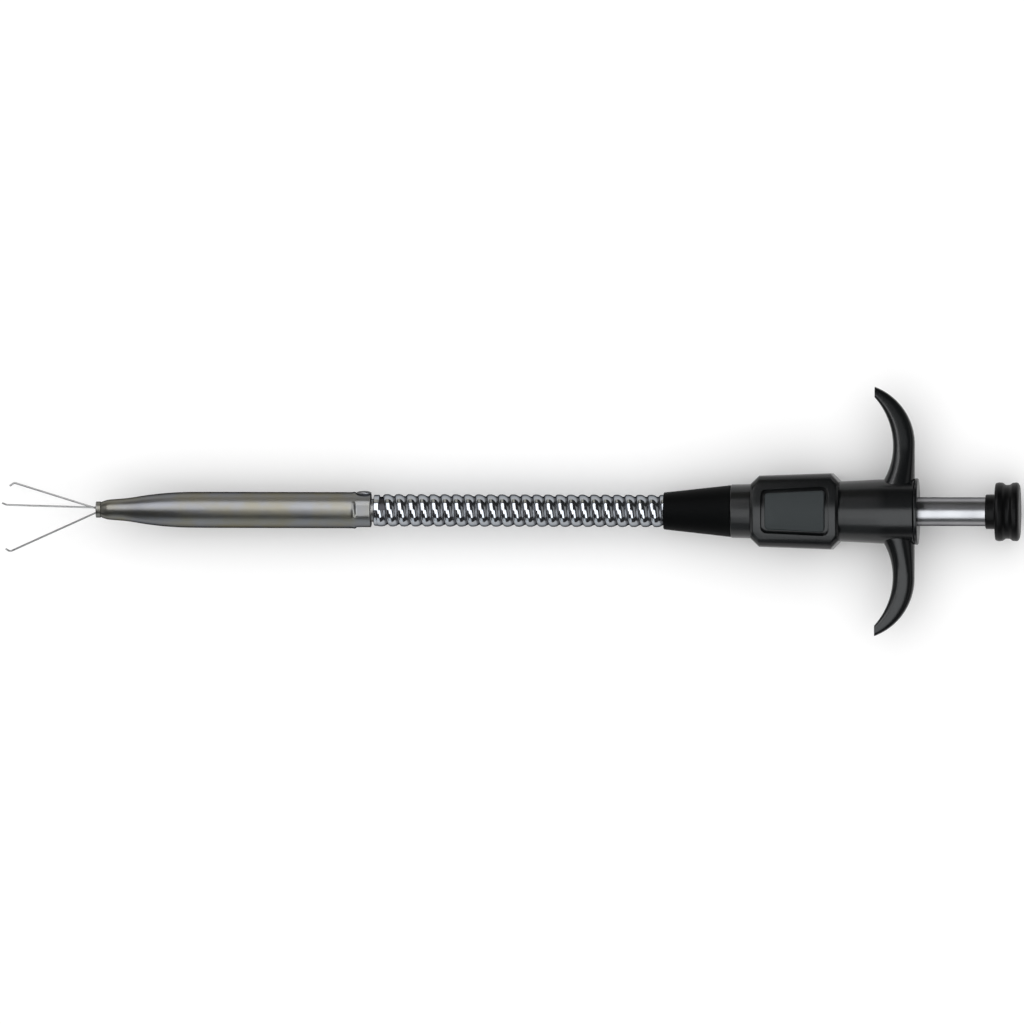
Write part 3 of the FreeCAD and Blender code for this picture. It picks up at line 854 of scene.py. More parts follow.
@dataclass(frozen=True)
class Nozzle:
    """Drawn steel tube: a rolled mouth, a long ogive and four crimps over the bush at its rear."""

    wall: float = 0.5
    lip_length: float = 1.15
    lip_radius: float = 2.05
    lip_round: float = 0.5
    lip_ease: float = 0.1
    groove_radius: float = 1.86
    mouth_radius: float = 1.8
    mouth_ease: float = 0.12
    shoulder: tuple[Point, ...] = ((1.45, 2.02), (2.4, 2.34), (3.6, 2.58), (8.0, 2.95), (13.0, 3.72))
    shoulder_end: tuple[Point, ...] = ((18.0, 4.27), (22.5, 4.52), (28.0, 4.59))
    crimp_length: float = 4.1
    crimp_width: float = 4.3
    crimp_inset: float = -0.4
    crimp_depth: float = 0.3
    crimp_least: float = 0.05
    crimp_steps: int = 36
    crimp_blur: Point = (0.35, 0.45)
    skin: float = 0.2
    run_out: Point = (2.0, 0.003)
    rear_chamfer: float = 0.08
    ridge_height: float = 0.12
    ridge_length: float = 0.55
    drop_half: float = 1.9
    drop_overhang: float = 0.25
    drop_place: tuple[float, float, float, float] = (0.6, 1.2, 1.7, 4.3)

    def pressed(self, along: float, out: float, angle: float, back: float) -> Point:
        """Where a point of the tube lies once the crimps are pressed in.

        Args:
            along: The point's station, in mm.
            out: Its distance from the axis, in mm.
            angle: Its angle round the axis, in radians.
            back: The station of the tube's rear end, in mm.

        Returns:
            The new station and distance.
        """
        quarter = math.pi / 2
        off = (angle + quarter / 2) % quarter - quarter / 2
        across = off * out
        middle = back - self.crimp_inset - self.crimp_length / 2
        end_blur, side_blur = self.crimp_blur
        beside = self.soft_box(across, self.crimp_width / 2, side_blur)
        dip = beside * self.soft_box(along - middle, self.crimp_length / 2, end_blur)
        front = middle - self.crimp_length / 2 - self.ridge_length
        ridge = beside * math.exp(-(((along - front) / (self.ridge_length / 2)) ** 2))
        chord = out * (1 - math.cos(off))
        pressed = dip * max(self.crimp_depth - chord, self.crimp_least)
        return along, out - pressed + self.ridge_height * ridge

    def build_drop(self, back: float) -> None:
        """Builds the drop of weld metal on the tube's upper rear edge.

        Args:
            back: The station of the tube's rear end, in mm.
        """
        turns = [math.pi * number / 16 for number in range(17)]
        lens = [(self.drop_half * math.cos(turn), max(math.sin(turn), 0.0) ** 0.8) for turn in turns]
        mesh = turned_mesh([(along, out if out > 1e-4 else 0.0) for along, out in lens], 24)
        across, up, rise, width = self.drop_place
        flat = Matrix.Diagonal((1, across, up, 1))
        at = Vector((back - self.drop_half + self.drop_overhang, width, AXIS + rise)) * MM
        mesh.transform(Matrix.Translation(at) @ flat @ Matrix.Translation((0, 0, -AXIS * MM)))
        mount(new_piece("weld_drop", mesh, TUBE), "nozzle", TUBE)

    @staticmethod
    def soft_box(offset: float, half: float, blur: float) -> float:
        """1 inside a width and 0 outside it, with a soft edge."""
        share = min(max((half + blur / 2 - abs(offset)) / blur, 0.0), 1.0)
        return share * share * (3 - 2 * share)

    def build(self) -> None:
        """Builds the tube and dresses what it holds."""
        low, high = span("nozzle")
        mouth, back, radius = low.x, high.x, (high.y - low.y) / 2
        lip_end = mouth + self.lip_length
        rim = rounded_loop(
            [
                Corner(mouth, self.mouth_radius, self.mouth_ease),
                Corner(mouth, self.lip_radius, self.lip_round),
                Corner(lip_end, self.lip_radius, self.lip_ease),
                Corner(lip_end + self.mouth_ease, self.groove_radius),
            ]
        )
        outside = [(mouth + along, out) for along, out in smooth_run(self.shoulder + self.shoulder_end)]
        crimp_front = back - self.crimp_inset - self.crimp_length - 3 * self.ridge_length
        run, below = self.run_out
        straight = [(outside[-1][0] + run, radius - below), (crimp_front, radius)]
        step = (back - crimp_front) / self.crimp_steps
        crimped = [(crimp_front + step * number, radius) for number in range(1, self.crimp_steps)]
        edge = [(back - self.rear_chamfer, radius), (back, radius - self.rear_chamfer)]
        inside = [(along, out - self.wall) for along, out in reversed(outside[2:])]
        loop = rim[1:] + outside + straight + crimped + edge + [(back, radius - self.wall)]
        loop += inside + [(lip_end, self.mouth_radius), rim[0]]

        def shift(along: float, out: float, angle: float) -> Point:
            """Presses the crimps into the outside of the tube's rear and leaves the rest."""
            outer = out > radius - self.skin and along > crimp_front
            return self.pressed(along, out, angle, back) if outer else (along, out)

        tube = new_piece("nozzle_tube", turned_mesh(loop, FINE, shift), TUBE)
        mount(weighted(tube), "nozzle", TUBE, "nozzle")
        self.build_drop(back)
        dress("nozzle_bush", TUBE)
        dress("claw_carrier", BRASS)


@dataclass(frozen=True)
class ClawWire:
    """One claw: a straight wire that splays out of the mouth and ends in a hook bent inwards."""

    name: str
    azimuth: float
    splay: float
    reach: float
    mouth_offset: float
    hook_turn: float
    tail: float = 2.2
    side_offset: float = 0.47
    radius: float = 0.25
    bend_radius: float = 0.7
    hook_length: float = 1.1
    lean: float = 28.0
    tip_ease: float = 0.09

    def path(self, mouth: float) -> list[Vector]:
        """The wire's middle line from its tail to its tip, in metres.

        Args:
            mouth: The station of the nozzle's mouth, in mm.

        Returns:
            The points of the line.
        """
        turn = math.radians(self.hook_turn)
        bend_at = -(self.tail + self.reach)
        points = [Vector((0, 0, 0)), Vector((bend_at / 2, 0, 0)), Vector((bend_at, 0, 0))]
        steps = 12
        for number in range(1, steps + 1):
            bent = turn * number / steps
            drop = self.bend_radius * (1 - math.cos(bent))
            points.append(Vector((bend_at - self.bend_radius * math.sin(bent), 0, -drop)))
        points.append(points[-1] + Vector((-math.cos(turn), 0, -math.sin(turn))) * self.hook_length)
        slope = math.radians(self.splay)
        inwards = self.mouth_offset - self.tail * math.sin(slope)
        own = Matrix.Translation((self.tail * math.cos(slope), self.side_offset, inwards))
        own @= Matrix.Rotation(slope, 4, "Y") @ Matrix.Rotation(math.radians(self.lean), 4, "X")
        around = Matrix.Translation((mouth, 0, AXIS)) @ Matrix.Rotation(-math.radians(self.azimuth), 4, "X")
        return [(around @ own @ point) * MM for point in points]

    def build(self, wire: WireRecipe) -> None:
        """Builds the claw with rounded ends.

        Args:
            wire: The recipe of a round wire.
        """
        mouth = span("nozzle")[0].x
        path = self.path(mouth)
        mesh = wire.made(path_curve(path), WIRE, {"Radius": self.radius * MM})
        claw = new_piece(f"claw_wire_{self.name}", mesh, WIRE)
        eased(claw, self.tip_ease, 60.0)
        mount(weighted(claw), f"claw_{self.name}", WIRE, f"claw_{self.name}")


CLAWS = (
    ClawWire("upper", 130.0, 21.5, 22.7, 0.8, 51.0),
    ClawWire("middle", 4.0, 22.0, 23.4, 0.8, 50.0),
    ClawWire("lower", -114.0, 26.0, 24.3, 0.65, 74.0),
)


class StripRecipe(Recipe):
    """A profiled strip wound round the tool's axis as a helix, one rib and one groove for each turn."""

    around: int = 72
    rows: int = 33
    along_span: Point = (1.25, 0.08)
    height_span: Point = (1.25, 0.25)
    along_points: tuple[Point, ...] = (
        (0.0, 0.30), (0.07, 0.10), (0.14, 0.145), (0.26, 0.36), (0.36, 0.56), (0.44, 0.70), (0.52, 0.80),
        (0.62, 0.98), (0.70, 1.0), (0.80, 0.90), (0.90, 0.60), (1.0, 0.30),
    )
    height_points: tuple[Point, ...] = (
        (0.0, 0.30), (0.07, 0.33), (0.14, 0.70), (0.26, 1.0), (0.36, 0.86), (0.44, 0.52), (0.52, 0.33),
        (0.62, 0.27), (0.70, 0.20), (0.80, 0.18), (0.90, 0.20), (1.0, 0.30),
    )

    def __init__(self) -> None:
        """Builds the tree: a grid whose rows follow the strip's section and whose columns go round."""
        super().__init__("wound_strip", ["Start", "Pitch", "Turns", "Valley", "Crest", "Axis"])
        make, given = self.maker, self.given
        turns = given.of("Turns")
        grid = {"Size X": 1.0, "Size Y": 1.0, "Vertices X": self.rows}
        sheet = make.add("GeometryNodeMeshGrid", {}, {**grid, "Vertices Y": turns * self.around + 1})
        place = make.add("ShaderNodeSeparateXYZ", {}, {0: make.add("GeometryNodeInputPosition")})
        share, wound = place.of(0) + 0.5, (place.of(1) + 0.5) * turns
        along = make.add("ShaderNodeFloatCurve", {"points": self.along_points}, {"Value": share})
        height = make.add("ShaderNodeFloatCurve", {"points": self.height_points}, {"Value": share})
        pitch = given.of("Pitch")
        (reach, before), (rise, below) = self.along_span, self.height_span
        station = given.of("Start") + pitch * wound + pitch * (along * reach - before)
        radius = given.of("Valley") + (given.of("Crest") - given.of("Valley")) * (height * rise - below)
        angle = wound * (2 * math.pi)
        spot = {0: station, 1: 0 - radius * angle.sine(), 2: given.of("Axis") + radius * angle.cosine()}
        moved = {"Geometry": sheet, "Position": make.add("ShaderNodeCombineXYZ", {}, spot)}
        self.ends(make.add("GeometryNodeSetPosition", {}, moved))


@dataclass(frozen=True)
class Hose:
    """Strip-wound metal hose: each body carries its own turns and a sleeve that covers the gap behind."""

    links: int = 12
    turns: int = 2
    first_turns: int = 4
    gap: float = 0.8
    crest: float = 4.12
    valley: float = 3.52
    sleeve: float = 3.46
    mouth_bore: float = 3.3
    tongue: float = 2.9
    bore: float = 2.45
    tongue_reach: float = 0.8
    cable_radius: float = 0.5
    claw_share: float = 4.0
    cuff: float = 3.95
    cuff_length: float = 1.5

    def build(self, wire: WireRecipe) -> None:
        """Builds every link's strip, sleeve and stretch of cable.

        Args:
            wire: The recipe of a round wire.
        """
        strip = StripRecipe()
        front_of = {number: span(f"hose_link_{number:02d}")[0].x for number in range(1, self.links + 1)}
        length = front_of[1] - front_of[2]
        pitch = length / self.turns
        for number in range(1, self.links + 1):
            body = "handle" if number == 1 else f"hose_turns_{number:02d}"
            self.build_link(number, front_of[number], pitch, body, strip)
            self.build_cable(wire, number, front_of[number], length, body)
        self.build_ends(wire, length)

    def build_link(self, number: int, front: float, pitch: float, body: str, strip: StripRecipe) -> None:
        """Builds one link's strip and sleeve.

        Args:
            number: The link's number, counted from the handle.
            front: The station of its front end, in mm.
            pitch: The length of one turn, in mm.
            body: The body that it rides on.
            strip: The recipe of the wound strip.
        """
        turns = self.first_turns if number == 1 else self.turns
        sizes = {
            "Start": front * MM,
            "Pitch": pitch * MM,
            "Turns": turns,
            "Valley": self.valley * MM,
            "Crest": self.crest * MM,
            "Axis": AXIS * MM,
        }
        bm = bmesh.new()
        bm.from_mesh(strip.made(bpy.data.meshes.new("empty"), CHROME, sizes))
        bmesh.ops.remove_doubles(bm, verts=bm.verts, dist=2 * SAME_POINT)
        bmesh.ops.holes_fill(bm, edges=bm.edges, sides=0)
        node = f"hose_link_{number:02d}"
        wound = new_piece(f"hose_strip_{number:02d}", closed_mesh(bm), CHROME)
        mount(wound, body, CHROME, node)
        back = front + turns * pitch
        end = back + self.tongue_reach
        corners = [
            Corner(front, self.mouth_bore),
            Corner(front, self.sleeve, 0.1),
            Corner(back - self.gap, self.sleeve, 0.1),
            Corner(back - self.gap, self.tongue, 0.1),
            Corner(end, self.tongue, 0.15),
            Corner(end, self.bore),
            Corner(front + 2 * self.tongue_reach, self.bore),
            Corner(front + 2 * self.tongue_reach, self.mouth_bore),
        ]
        sleeve = turned(f"hose_sleeve_{number:02d}", CHROME, corners, COARSE)
        mount(sleeve, body, CHROME, node)
        if number == self.links:
            cuff = [
                Corner(front, self.mouth_bore),
                Corner(front, self.cuff, 0.3),
                Corner(front + self.cuff_length, self.cuff, 0.3),
                Corner(front + self.cuff_length, self.mouth_bore),
            ]
            mount(turned("hose_cuff", CHROME, cuff, 96), body, CHROME, node)

    def build_cable(self, wire: WireRecipe, number: int, front: float, length: float, body: str) -> None:
        """Builds the stretch of pull cable that one link carries."""
        reach = length if number > 1 else length * self.first_turns / self.turns
        self.stretch(wire, f"cable_in_link_{number:02d}", front, front + reach, body)

    def build_ends(self, wire: WireRecipe, length: float) -> None:
        """Builds the cable's ends: one goes with the claws, one with the plunger.

        Args:
            wire: The recipe of a round wire.
            length: The length of one link, in mm.
        """
        front = span("claw_cable")[0].x
        middle = front + self.claw_share * length
        at_claws = self.stretch(wire, "cable_at_claws", front, middle, "claw_carrier")
        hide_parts("claw_cable")
        self.stretch(wire, "cable_in_nozzle", middle, span("nozzle")[1].x, "nozzle")
        start = span("hose_anchor")[1].x
        rear = self.stretch(wire, "cable_at_plunger", start, span("pull_cable")[1].x, "plunger")
        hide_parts("pull_cable")
        dress("hose_anchor", BRASS)

    def stretch(self, wire: WireRecipe, name: str, start: float, end: float, body: str) -> bpy.types.Object:
        """Builds a straight stretch of the cable.

        Args:
            wire: The recipe of a round wire.
            name: The stretch's name.
            start: The station of its front end, in mm.
            end: The station of its rear end, in mm.
            body: The body that it rides on.

        Returns:
            The stretch.
        """
        ends = [Vector((x, 0, AXIS)) * MM for x in (start, end)]
        mesh = wire.made(path_curve(ends), WIRE, {"Radius": self.cable_radius * MM})
        return mount(new_piece(name, mesh, WIRE), body, WIRE)


@dataclass(frozen=True)
class StrainRelief:
    """Black cone over the hose's end, and the dark collar that locks it to the handle."""

    seat: float = 4.2
    anchor: float = 3.68
    cone_front: float = 4.7
    cone_back: float = 6.6
    cone_round: float = 0.45
    collar_front: float = 6.78
    collar_back: float = 6.92
    collar_round: float = 0.3

    def build(self) -> None:
        """Builds the cone and the collar."""
        low, high = span("strain_cone")
        cone = [
            Corner(low.x, self.seat, 0.15),
            Corner(low.x, self.cone_front, self.cone_round),
            Corner(high.x, self.cone_back, 0.2),
            Corner(high.x, self.anchor),
            Corner(span("hose_link_01")[1].x, self.anchor),
            Corner(span("hose_link_01")[1].x, self.seat),
        ]
        mount(turned("cone_sleeve", CONE_BLACK, cone, FINE), "handle", CONE_BLACK, "strain_cone")
        low, high = span("locking_collar")
        collar = [
            Corner(low.x, self.anchor),
            Corner(low.x, self.collar_front, self.collar_round),
            Corner(high.x, self.collar_back, self.collar_round),
            Corner(high.x, self.anchor),
        ]
        mount(turned("collar_ring", PLASTIC, collar, FINE), "handle", PLASTIC, "locking_collar")


@dataclass(frozen=True)
class Housing:
    """Box-shaped middle of the handle with bevelled corners and rounded long edges, hollow inside."""

    front: float = -11.1
    back: float = 11.3
    half_front: float = 9.05
    half_back: float = 9.7
    slope: float = 2.1
    end_ease: float = 0.7
    long_round: float = 1.8
    edge_round: float = 0.35
    sharp_from: float = 28.0
    recess_front: float = -8.4
    recess_back: float = 8.8
    recess_half_front: float = 5.6
    recess_half_back: float = 6.35
    recess_depth: float = 1.5
    recess_corner: float = 1.6
    crown_radius: float = 16.0
    chamber: float = 4.95
    chamber_floor: float = -8.8
    cable_way: float = 1.6

    def ring(self, bm: bmesh.types.BMesh, up: float, depth: float) -> list[bmesh.types.BMVert]:
        """The outline at a depth under the nearer flat face, as eight corners.

        Args:
            bm: The mesh that gets the corners.
            up: The outline's height, in mm.
            depth: How far it lies under the nearer flat face, in mm.

        Returns:
            The corners.
        """
        ends = max(self.end_ease - depth, 0.0)
        rest = max(self.long_round - depth, 0.0)
        sides = self.long_round - math.sqrt(self.long_round**2 - rest**2)
        outline = []
        for end, inwards, half in ((self.front, 1, self.half_front), (self.back, -1, self.half_back)):
            near = (end + inwards * ends, half - self.slope - sides)
            far = (end + inwards * self.slope, half - sides)
            outline.append((near, far) if inwards > 0 else (far, near))
        upper = [*outline[0], *outline[1]]
        points = upper + [(x, -y) for x, y in reversed(upper)]
        return [bm.verts.new(Vector((x, y, up)) * MM) for x, y in points]

    def recess_ring(self, bm: bmesh.types.BMesh, up: float) -> list[bmesh.types.BMVert]:
        """The recess's outline with its round corners.

        Args:
            bm: The mesh that gets the corners.
            up: The outline's height, in mm.

        Returns:
            The corners.
        """
        corners = [
            Corner(self.recess_front, -self.recess_half_front, self.recess_corner),
            Corner(self.recess_back, -self.recess_half_back, self.recess_corner),
            Corner(self.recess_back, self.recess_half_back, self.recess_corner),
            Corner(self.recess_front, self.recess_half_front, self.recess_corner),
        ]
        return [bm.verts.new(Vector((x, y, up)) * MM) for x, y in rounded_loop(corners, 15.0)]

    def block(self) -> bpy.types.Mesh:
        """The solid block with its recess.

        Returns:
            The mesh.
        """
        bm = bmesh.new()
        top = 2 * AXIS
        turns = [math.radians(15 * number) for number in range(7)]
        depths = sorted({self.long_round * (1 - math.cos(a)) for a in turns} | {self.end_ease})
        levels = [(depth, depth) for depth in depths]
        levels += [(top - depth, depth) for depth in reversed(depths)]
        rings = [self.ring(bm, up, depth) for up, depth in levels]
        for lower, upper in zip(rings, rings[1:]):
            self.wall(bm, lower, upper)
        bm.faces.new(rings[0])
        rim = self.recess_ring(bm, top)
        floor = self.recess_ring(bm, top - self.recess_depth)
        self.wall(bm, rim, floor)
        bm.faces.new(floor)
        bmesh.ops.remove_doubles(bm, verts=bm.verts, dist=SAME_POINT)
        open_edges = [edge for edge in bm.edges if edge.is_boundary]
        bmesh.ops.triangle_fill(bm, edges=open_edges, use_beauty=True)
        bmesh.ops.recalc_face_normals(bm, faces=bm.faces)
        bmesh.ops.dissolve_limit(bm, angle_limit=0.001, verts=bm.verts, edges=bm.edges)
        least = math.radians(self.sharp_from)
        sharp = [edge for edge in bm.edges if len(edge.link_faces) == 2 and edge.calc_face_angle(0) > least]
        bmesh.ops.bevel(
            bm,
            geom=sharp,
            offset=self.edge_round * MM,
            segments=3,
            profile=0.5,
            affect="EDGES",
            clamp_overlap=True,
        )
        crowned(bm, self.crown_radius, self.half_back)
        return closed_mesh(bm)

    @staticmethod
    def wall(bm: bmesh.types.BMesh, one: list[bmesh.types.BMVert], other: list[bmesh.types.BMVert]) -> None:
        """Joins two rings of as many corners with a band of faces.

        Args:
            bm: The mesh that gets the faces.
            one: The corners of the first ring.
            other: The corners of the second ring.
        """
        for index in range(len(one)):
            after = (index + 1) % len(one)
            bm.faces.new((one[index], one[after], other[after], other[index]))

    def build(self) -> None:
        """Builds the block and bores it."""
        block = new_piece("housing_blank", self.block(), PLASTIC)
        bore = [
            Corner(self.front - 1, 0),
            Corner(self.front - 1, self.cable_way),
            Corner(self.chamber_floor, self.cable_way),
            Corner(self.chamber_floor, self.chamber),
            Corner(self.back + 1, self.chamber),
            Corner(self.back + 1, 0),
        ]
        drill = new_piece("drill", turned_mesh(rounded_loop(bore), COARSE), PLASTIC)
        cut = block.modifiers.new("bore", "BOOLEAN")
        cut.operation = "DIFFERENCE"
        cut.solver = "EXACT"
        cut.object = drill
        bored = new_piece("handle_housing", baked(block), PLASTIC)
        bpy.data.objects.remove(drill)
        mount(weighted(bored), "handle", PLASTIC, "handle_body")


@dataclass(frozen=True)
class InsetPanel:
    """Bare grey panel in the housing's recess."""

    half_front: float = 4.6
    half_back: float = 5.35
    corner: float = 0.9
    edge_round: float = 0.28

    def build(self) -> None:
        """Builds the panel with a rounded rim and a faintly crowned face."""
        low, high = span("inset_panel")
        corners = [
            Corner(low.x, -self.half_front, self.corner),
            Corner(high.x, -self.half_back, self.corner),
            Corner(high.x, self.half_back, self.corner),
            Corner(low.x, self.half_front, self.corner),
        ]
        outline = rounded_loop(corners, 10.0)
        middle = Vector(((low.x + high.x) / 2, 0))
        levels = [(low.z, 0.0), (high.z - self.edge_round, 0.0)]
        for number in range(1, 5):
            turn = math.pi / 2 * number / 4
            inset = self.edge_round * (1 - math.cos(turn))
            levels.append((high.z - self.edge_round * (1 - math.sin(turn)), inset))
        bm = bmesh.new()
        rings = []
        for up, inset in levels:
            ring = []
            for x, y in outline:
                arm = Vector((x, y)) - middle
                arm -= Vector((math.copysign(inset, arm.x), math.copysign(inset, arm.y)))
                ring.append(bm.verts.new(Vector((middle.x + arm.x, arm.y, up)) * MM))
            rings.append(ring)
        for lower, upper in zip(rings, rings[1:]):
            Housing.wall(bm, lower, upper)
        bm.faces.new(rings[0])
        bm.faces.new(rings[-1])
        crowned(bm, Housing.crown_radius, Housing.half_back)
        mount(weighted(new_piece("grey_panel", closed_mesh(bm), PANEL)), "handle", PANEL, "inset_panel")


@dataclass(frozen=True)
class Barrel:
    """Round barrel behind the housing, bored for the spring."""

    start: float = 9.2
    front_end: float = 11.3
    front_radius: float = 7.65
    swell: float = 10.5
    back_radius: float = 8.15
    chamber: float = 4.95
    rear_round: float = 0.4

    def build(self) -> None:
        """Builds the barrel."""
        back = span("end_cap")[1].x - EndCap.flange_thickness
        outside = smooth_run(
            [
                (self.front_end, self.front_radius),
                (self.front_end + 0.4 * self.swell, self.front_radius + 0.2),
                (self.front_end + self.swell, self.back_radius),
                (self.front_end + self.swell + 2.5, self.back_radius),
            ],
            8,
        )
        loop = [(self.start, self.chamber), (self.start, self.front_radius)] + outside
        rear = [Corner(outside[-1][0], self.back_radius), Corner(back, self.back_radius, self.rear_round)]
        rear += [Corner(back, self.chamber), Corner(self.start, self.chamber)]
        loop += rounded_loop(rear)[1:-1]
        barrel = weighted(new_piece("handle_barrel", turned_mesh(loop, FINE), PLASTIC))
        mount(barrel, "handle", PLASTIC, "handle_body")


@dataclass(frozen=True)
class Wing:
    """Finger wing: a hook that rises from the barrel, leans back and curls forward to a blunt tip."""

    side: int
    root: Point = (19.9, 4.6)
    waist: Point = (24.8, 16.6)
    tip_front: Point = (20.12, 28.95)
    rear: float = 30.35
    knee: float = 17.0
    tip: Point = (20.12, 31.72)
    half_root: float = 3.6
    half_tip: float = 1.3
    tip_ease: float = 0.25
    stations: int = 26
    around: int = 64
    squareness: float = 3.2
    web_top: Point = (28.2, 16.5)
    web_foot: Point = (26.0, 7.0)
    web_least: float = 0.7
    web_width: float = 3.4
    web_rise: float = 1.0
    web_power: float = 1.5

    def build(self) -> None:
        """Builds the wing."""
        bm = bmesh.new()
        rings = []
        for number in range(2 * self.stations + 1):
            front, back = self.edges(number / self.stations)
            rings.append(self.section(bm, Vector(front), Vector(back)))
        for lower, upper in zip(rings, rings[1:]):
            Housing.wall(bm, lower, upper)
        bm.faces.new(rings[0])
        bm.faces.new(rings[-1])
        name = "left" if self.side > 0 else "right"
        wing = new_piece(f"handle_wing_{name}", closed_mesh(bm), PLASTIC)
        eased(wing, self.tip_ease, 50.0)
        mount(weighted(wing), "handle", PLASTIC, "handle_body")

    def edges(self, along: float) -> tuple[Point, Point]:
        """Where the front and the back edge are at a station.

        Args:
            along: The station: 0 at the root, 1 at the waist and the knee, 2 at the tip.

        Returns:
            The point on the front edge and the one on the back edge, in mm.
        """
        if along <= 1:
            front = self.on_arc(self.waist, self.root, 1 - along)
            return front, (self.rear, self.root[1] + along * (self.knee - self.root[1]))
        front = self.on_arc(self.waist, self.tip_front, along - 1)
        return front, self.on_arc((self.rear, self.knee), self.tip, along - 1)

    @staticmethod
    def on_arc(start: Point, end: Point, share: float) -> Point:
        """A point on the arc that leaves its start straight along Y and ends at another point.

        Args:
            start: Where the arc starts.
            end: Where it ends, nearer to the tool's tip.
            share: How far along the arc the point is.

        Returns:
            The point.
        """
        off, run = start[0] - end[0], end[1] - start[1]
        radius = (off**2 + run**2) / (2 * off)
        turn = math.asin(run / radius) * share
        return start[0] - radius * (1 - math.cos(turn)), start[1] + radius * math.sin(turn)

    def web(self, x: float, y: float) -> float:
        """How much a face is raised by the web that runs down to the barrel.

        Args:
            x: The place along the tool, in mm.
            y: The distance from the axis to the side, in mm.

        Returns:
            The rise, in mm.
        """
        share = (self.web_top[1] - y) / (self.web_top[1] - self.web_foot[1])
        share = min(max(share, 0.0), 1.0)
        ridge = self.web_top[0] + share * (self.web_foot[0] - self.web_top[0])
        width = self.web_least + share * self.web_width
        return self.web_rise * share**self.web_power * math.exp(-(((x - ridge) / width) ** 2))

    def section(self, bm: bmesh.types.BMesh, front: Vector, back: Vector) -> list[bmesh.types.BMVert]:
        """One section between the wing's front and back edge.

        Args:
            bm: The mesh that gets the section's corners.
            front: The point on the front edge.
            back: The point on the back edge.

        Returns:
            The corners.
        """
        middle, reach = (front + back) / 2, (back - front) / 2
        ring = []
        for number in range(self.around):
            angle = 2 * math.pi * number / self.around
            along, up = self.squared(math.cos(angle)), self.squared(math.sin(angle))
            spot = middle + reach * along
            share = (spot.y - self.root[1]) / (self.tip[1] - self.root[1])
            half = self.half_root + share * (self.half_tip - self.half_root)
            rise = AXIS + up * (half + self.web(spot.x, spot.y))
            ring.append(bm.verts.new(Vector((spot.x, self.side * spot.y, rise)) * MM))
        return ring

    def squared(self, number: float) -> float:
        """A sine or cosine drawn out towards a squarer section."""
        return math.copysign(abs(number) ** (2 / self.squareness), number)


@dataclass(frozen=True)
class EndCap:
    """Flanged bush that closes the barrel."""

    flange_thickness: float = 0.9
    flange_radius: float = 8.45
    bore: float = 3.71
    spigot: float = 4.9
    edge_round: float = 0.3

    def build(self) -> None:
        """Builds the cap."""
        low, high = span("end_cap")
        corners = [
            Corner(low.x, self.bore),
            Corner(high.x, self.bore, 0.3),
            Corner(high.x, self.flange_radius, self.edge_round),
            Corner(high.x - self.flange_thickness, self.flange_radius, 0.15),
            Corner(high.x - self.flange_thickness, self.spigot),
            Corner(low.x, self.spigot, 0.2),
        ]
        mount(turned("cap_flange", PLASTIC, corners, FINE), "handle", PLASTIC, "end_cap")


@dataclass(frozen=True)
class Plunger:
    """Polished rod with what it carries, and the black thumb knob on its end."""

    rod: float = 3.65
    rod_round: float = 0.35
    seat: float = 1.56
    nipple: float = 4.5
    groove: float = 3.3
    stud: float = 2.4
    neck: float = 4.4
    neck_length: float = 2.5
    rim: float = 7.5
    rim_foot: float = 7.25
    rim_shoulder: float = 7.4
    rim_width: float = 1.9
    rim_round: float = 0.8
    waist: float = 6.85
    waist_slope: float = 0.7
    waist_round: float = 0.9
    soft_edge: float = 0.6
    neck_ease: float = 0.35
    face_rise: float = 0.05
    face_edge: float = 6.6
    face_crown: Point = (4.0, 3.0)
    stud_depth: float = 6.5
    bore: float = 2.45

    def build(self) -> None:
        """Builds the rod and the knob and dresses the pieces between."""
        low, _ = span("plunger_rod")
        ring_low, ring_high = span("retaining_ring")
        knob_front = span("thumb_knob")[0].x
        corners = [
            Corner(low.x, self.seat, 0.1),
            Corner(low.x, self.rod, self.rod_round),
            Corner(ring_low.x, self.rod),
            Corner(ring_low.x, self.groove),
            Corner(ring_high.x, self.groove),
            Corner(ring_high.x, self.rod),
            Corner(knob_front, self.rod),
            Corner(knob_front, self.stud),
            Corner(knob_front + self.stud_depth, self.stud, 0.2),
            Corner(knob_front + self.stud_depth, 0),
            Corner(low.x + self.nipple, 0),
            Corner(low.x + self.nipple, self.seat),
        ]
        mount(turned("polished_rod", ROD, corners, FINE), "plunger", ROD, "plunger_rod")
        for node in ("retaining_ring", "spring_washer"):
            dress(node, ROD)
        dress("cable_nipple", BRASS)
        self.build_knob()

    def build_knob(self) -> None:
        """Builds the spool-shaped knob."""
        low, high = span("thumb_knob")
        rim_in = low.x + self.neck_length
        rim_out = rim_in + self.rim_width
        top_in = high.x - self.rim_width
        corners = [
            Corner(low.x, self.bore),
            Corner(low.x, self.neck, self.neck_ease),
            Corner(rim_in, self.neck, self.neck_ease),
            Corner(rim_in, self.rim_foot, 0.5),
            Corner(rim_in + 0.9, self.rim, self.rim_round),
            Corner(rim_out, self.rim_shoulder, self.soft_edge),
            Corner(rim_out + self.waist_slope, self.waist, self.waist_round),
            Corner(top_in - self.waist_slope, self.waist, self.waist_round),
            Corner(top_in, self.rim_shoulder, self.soft_edge),
            Corner(high.x - 0.5, self.rim, self.rim_round),
            Corner(high.x - self.face_rise, self.face_edge, self.soft_edge),
            Corner(high.x, *self.face_crown),
            Corner(high.x, 0),
            Corner(low.x + self.stud_depth, 0),
            Corner(low.x + self.stud_depth, self.bore),
        ]
        mount(turned("knob_spool", KNOB, corners, FINE), "plunger", KNOB, "thumb_knob")


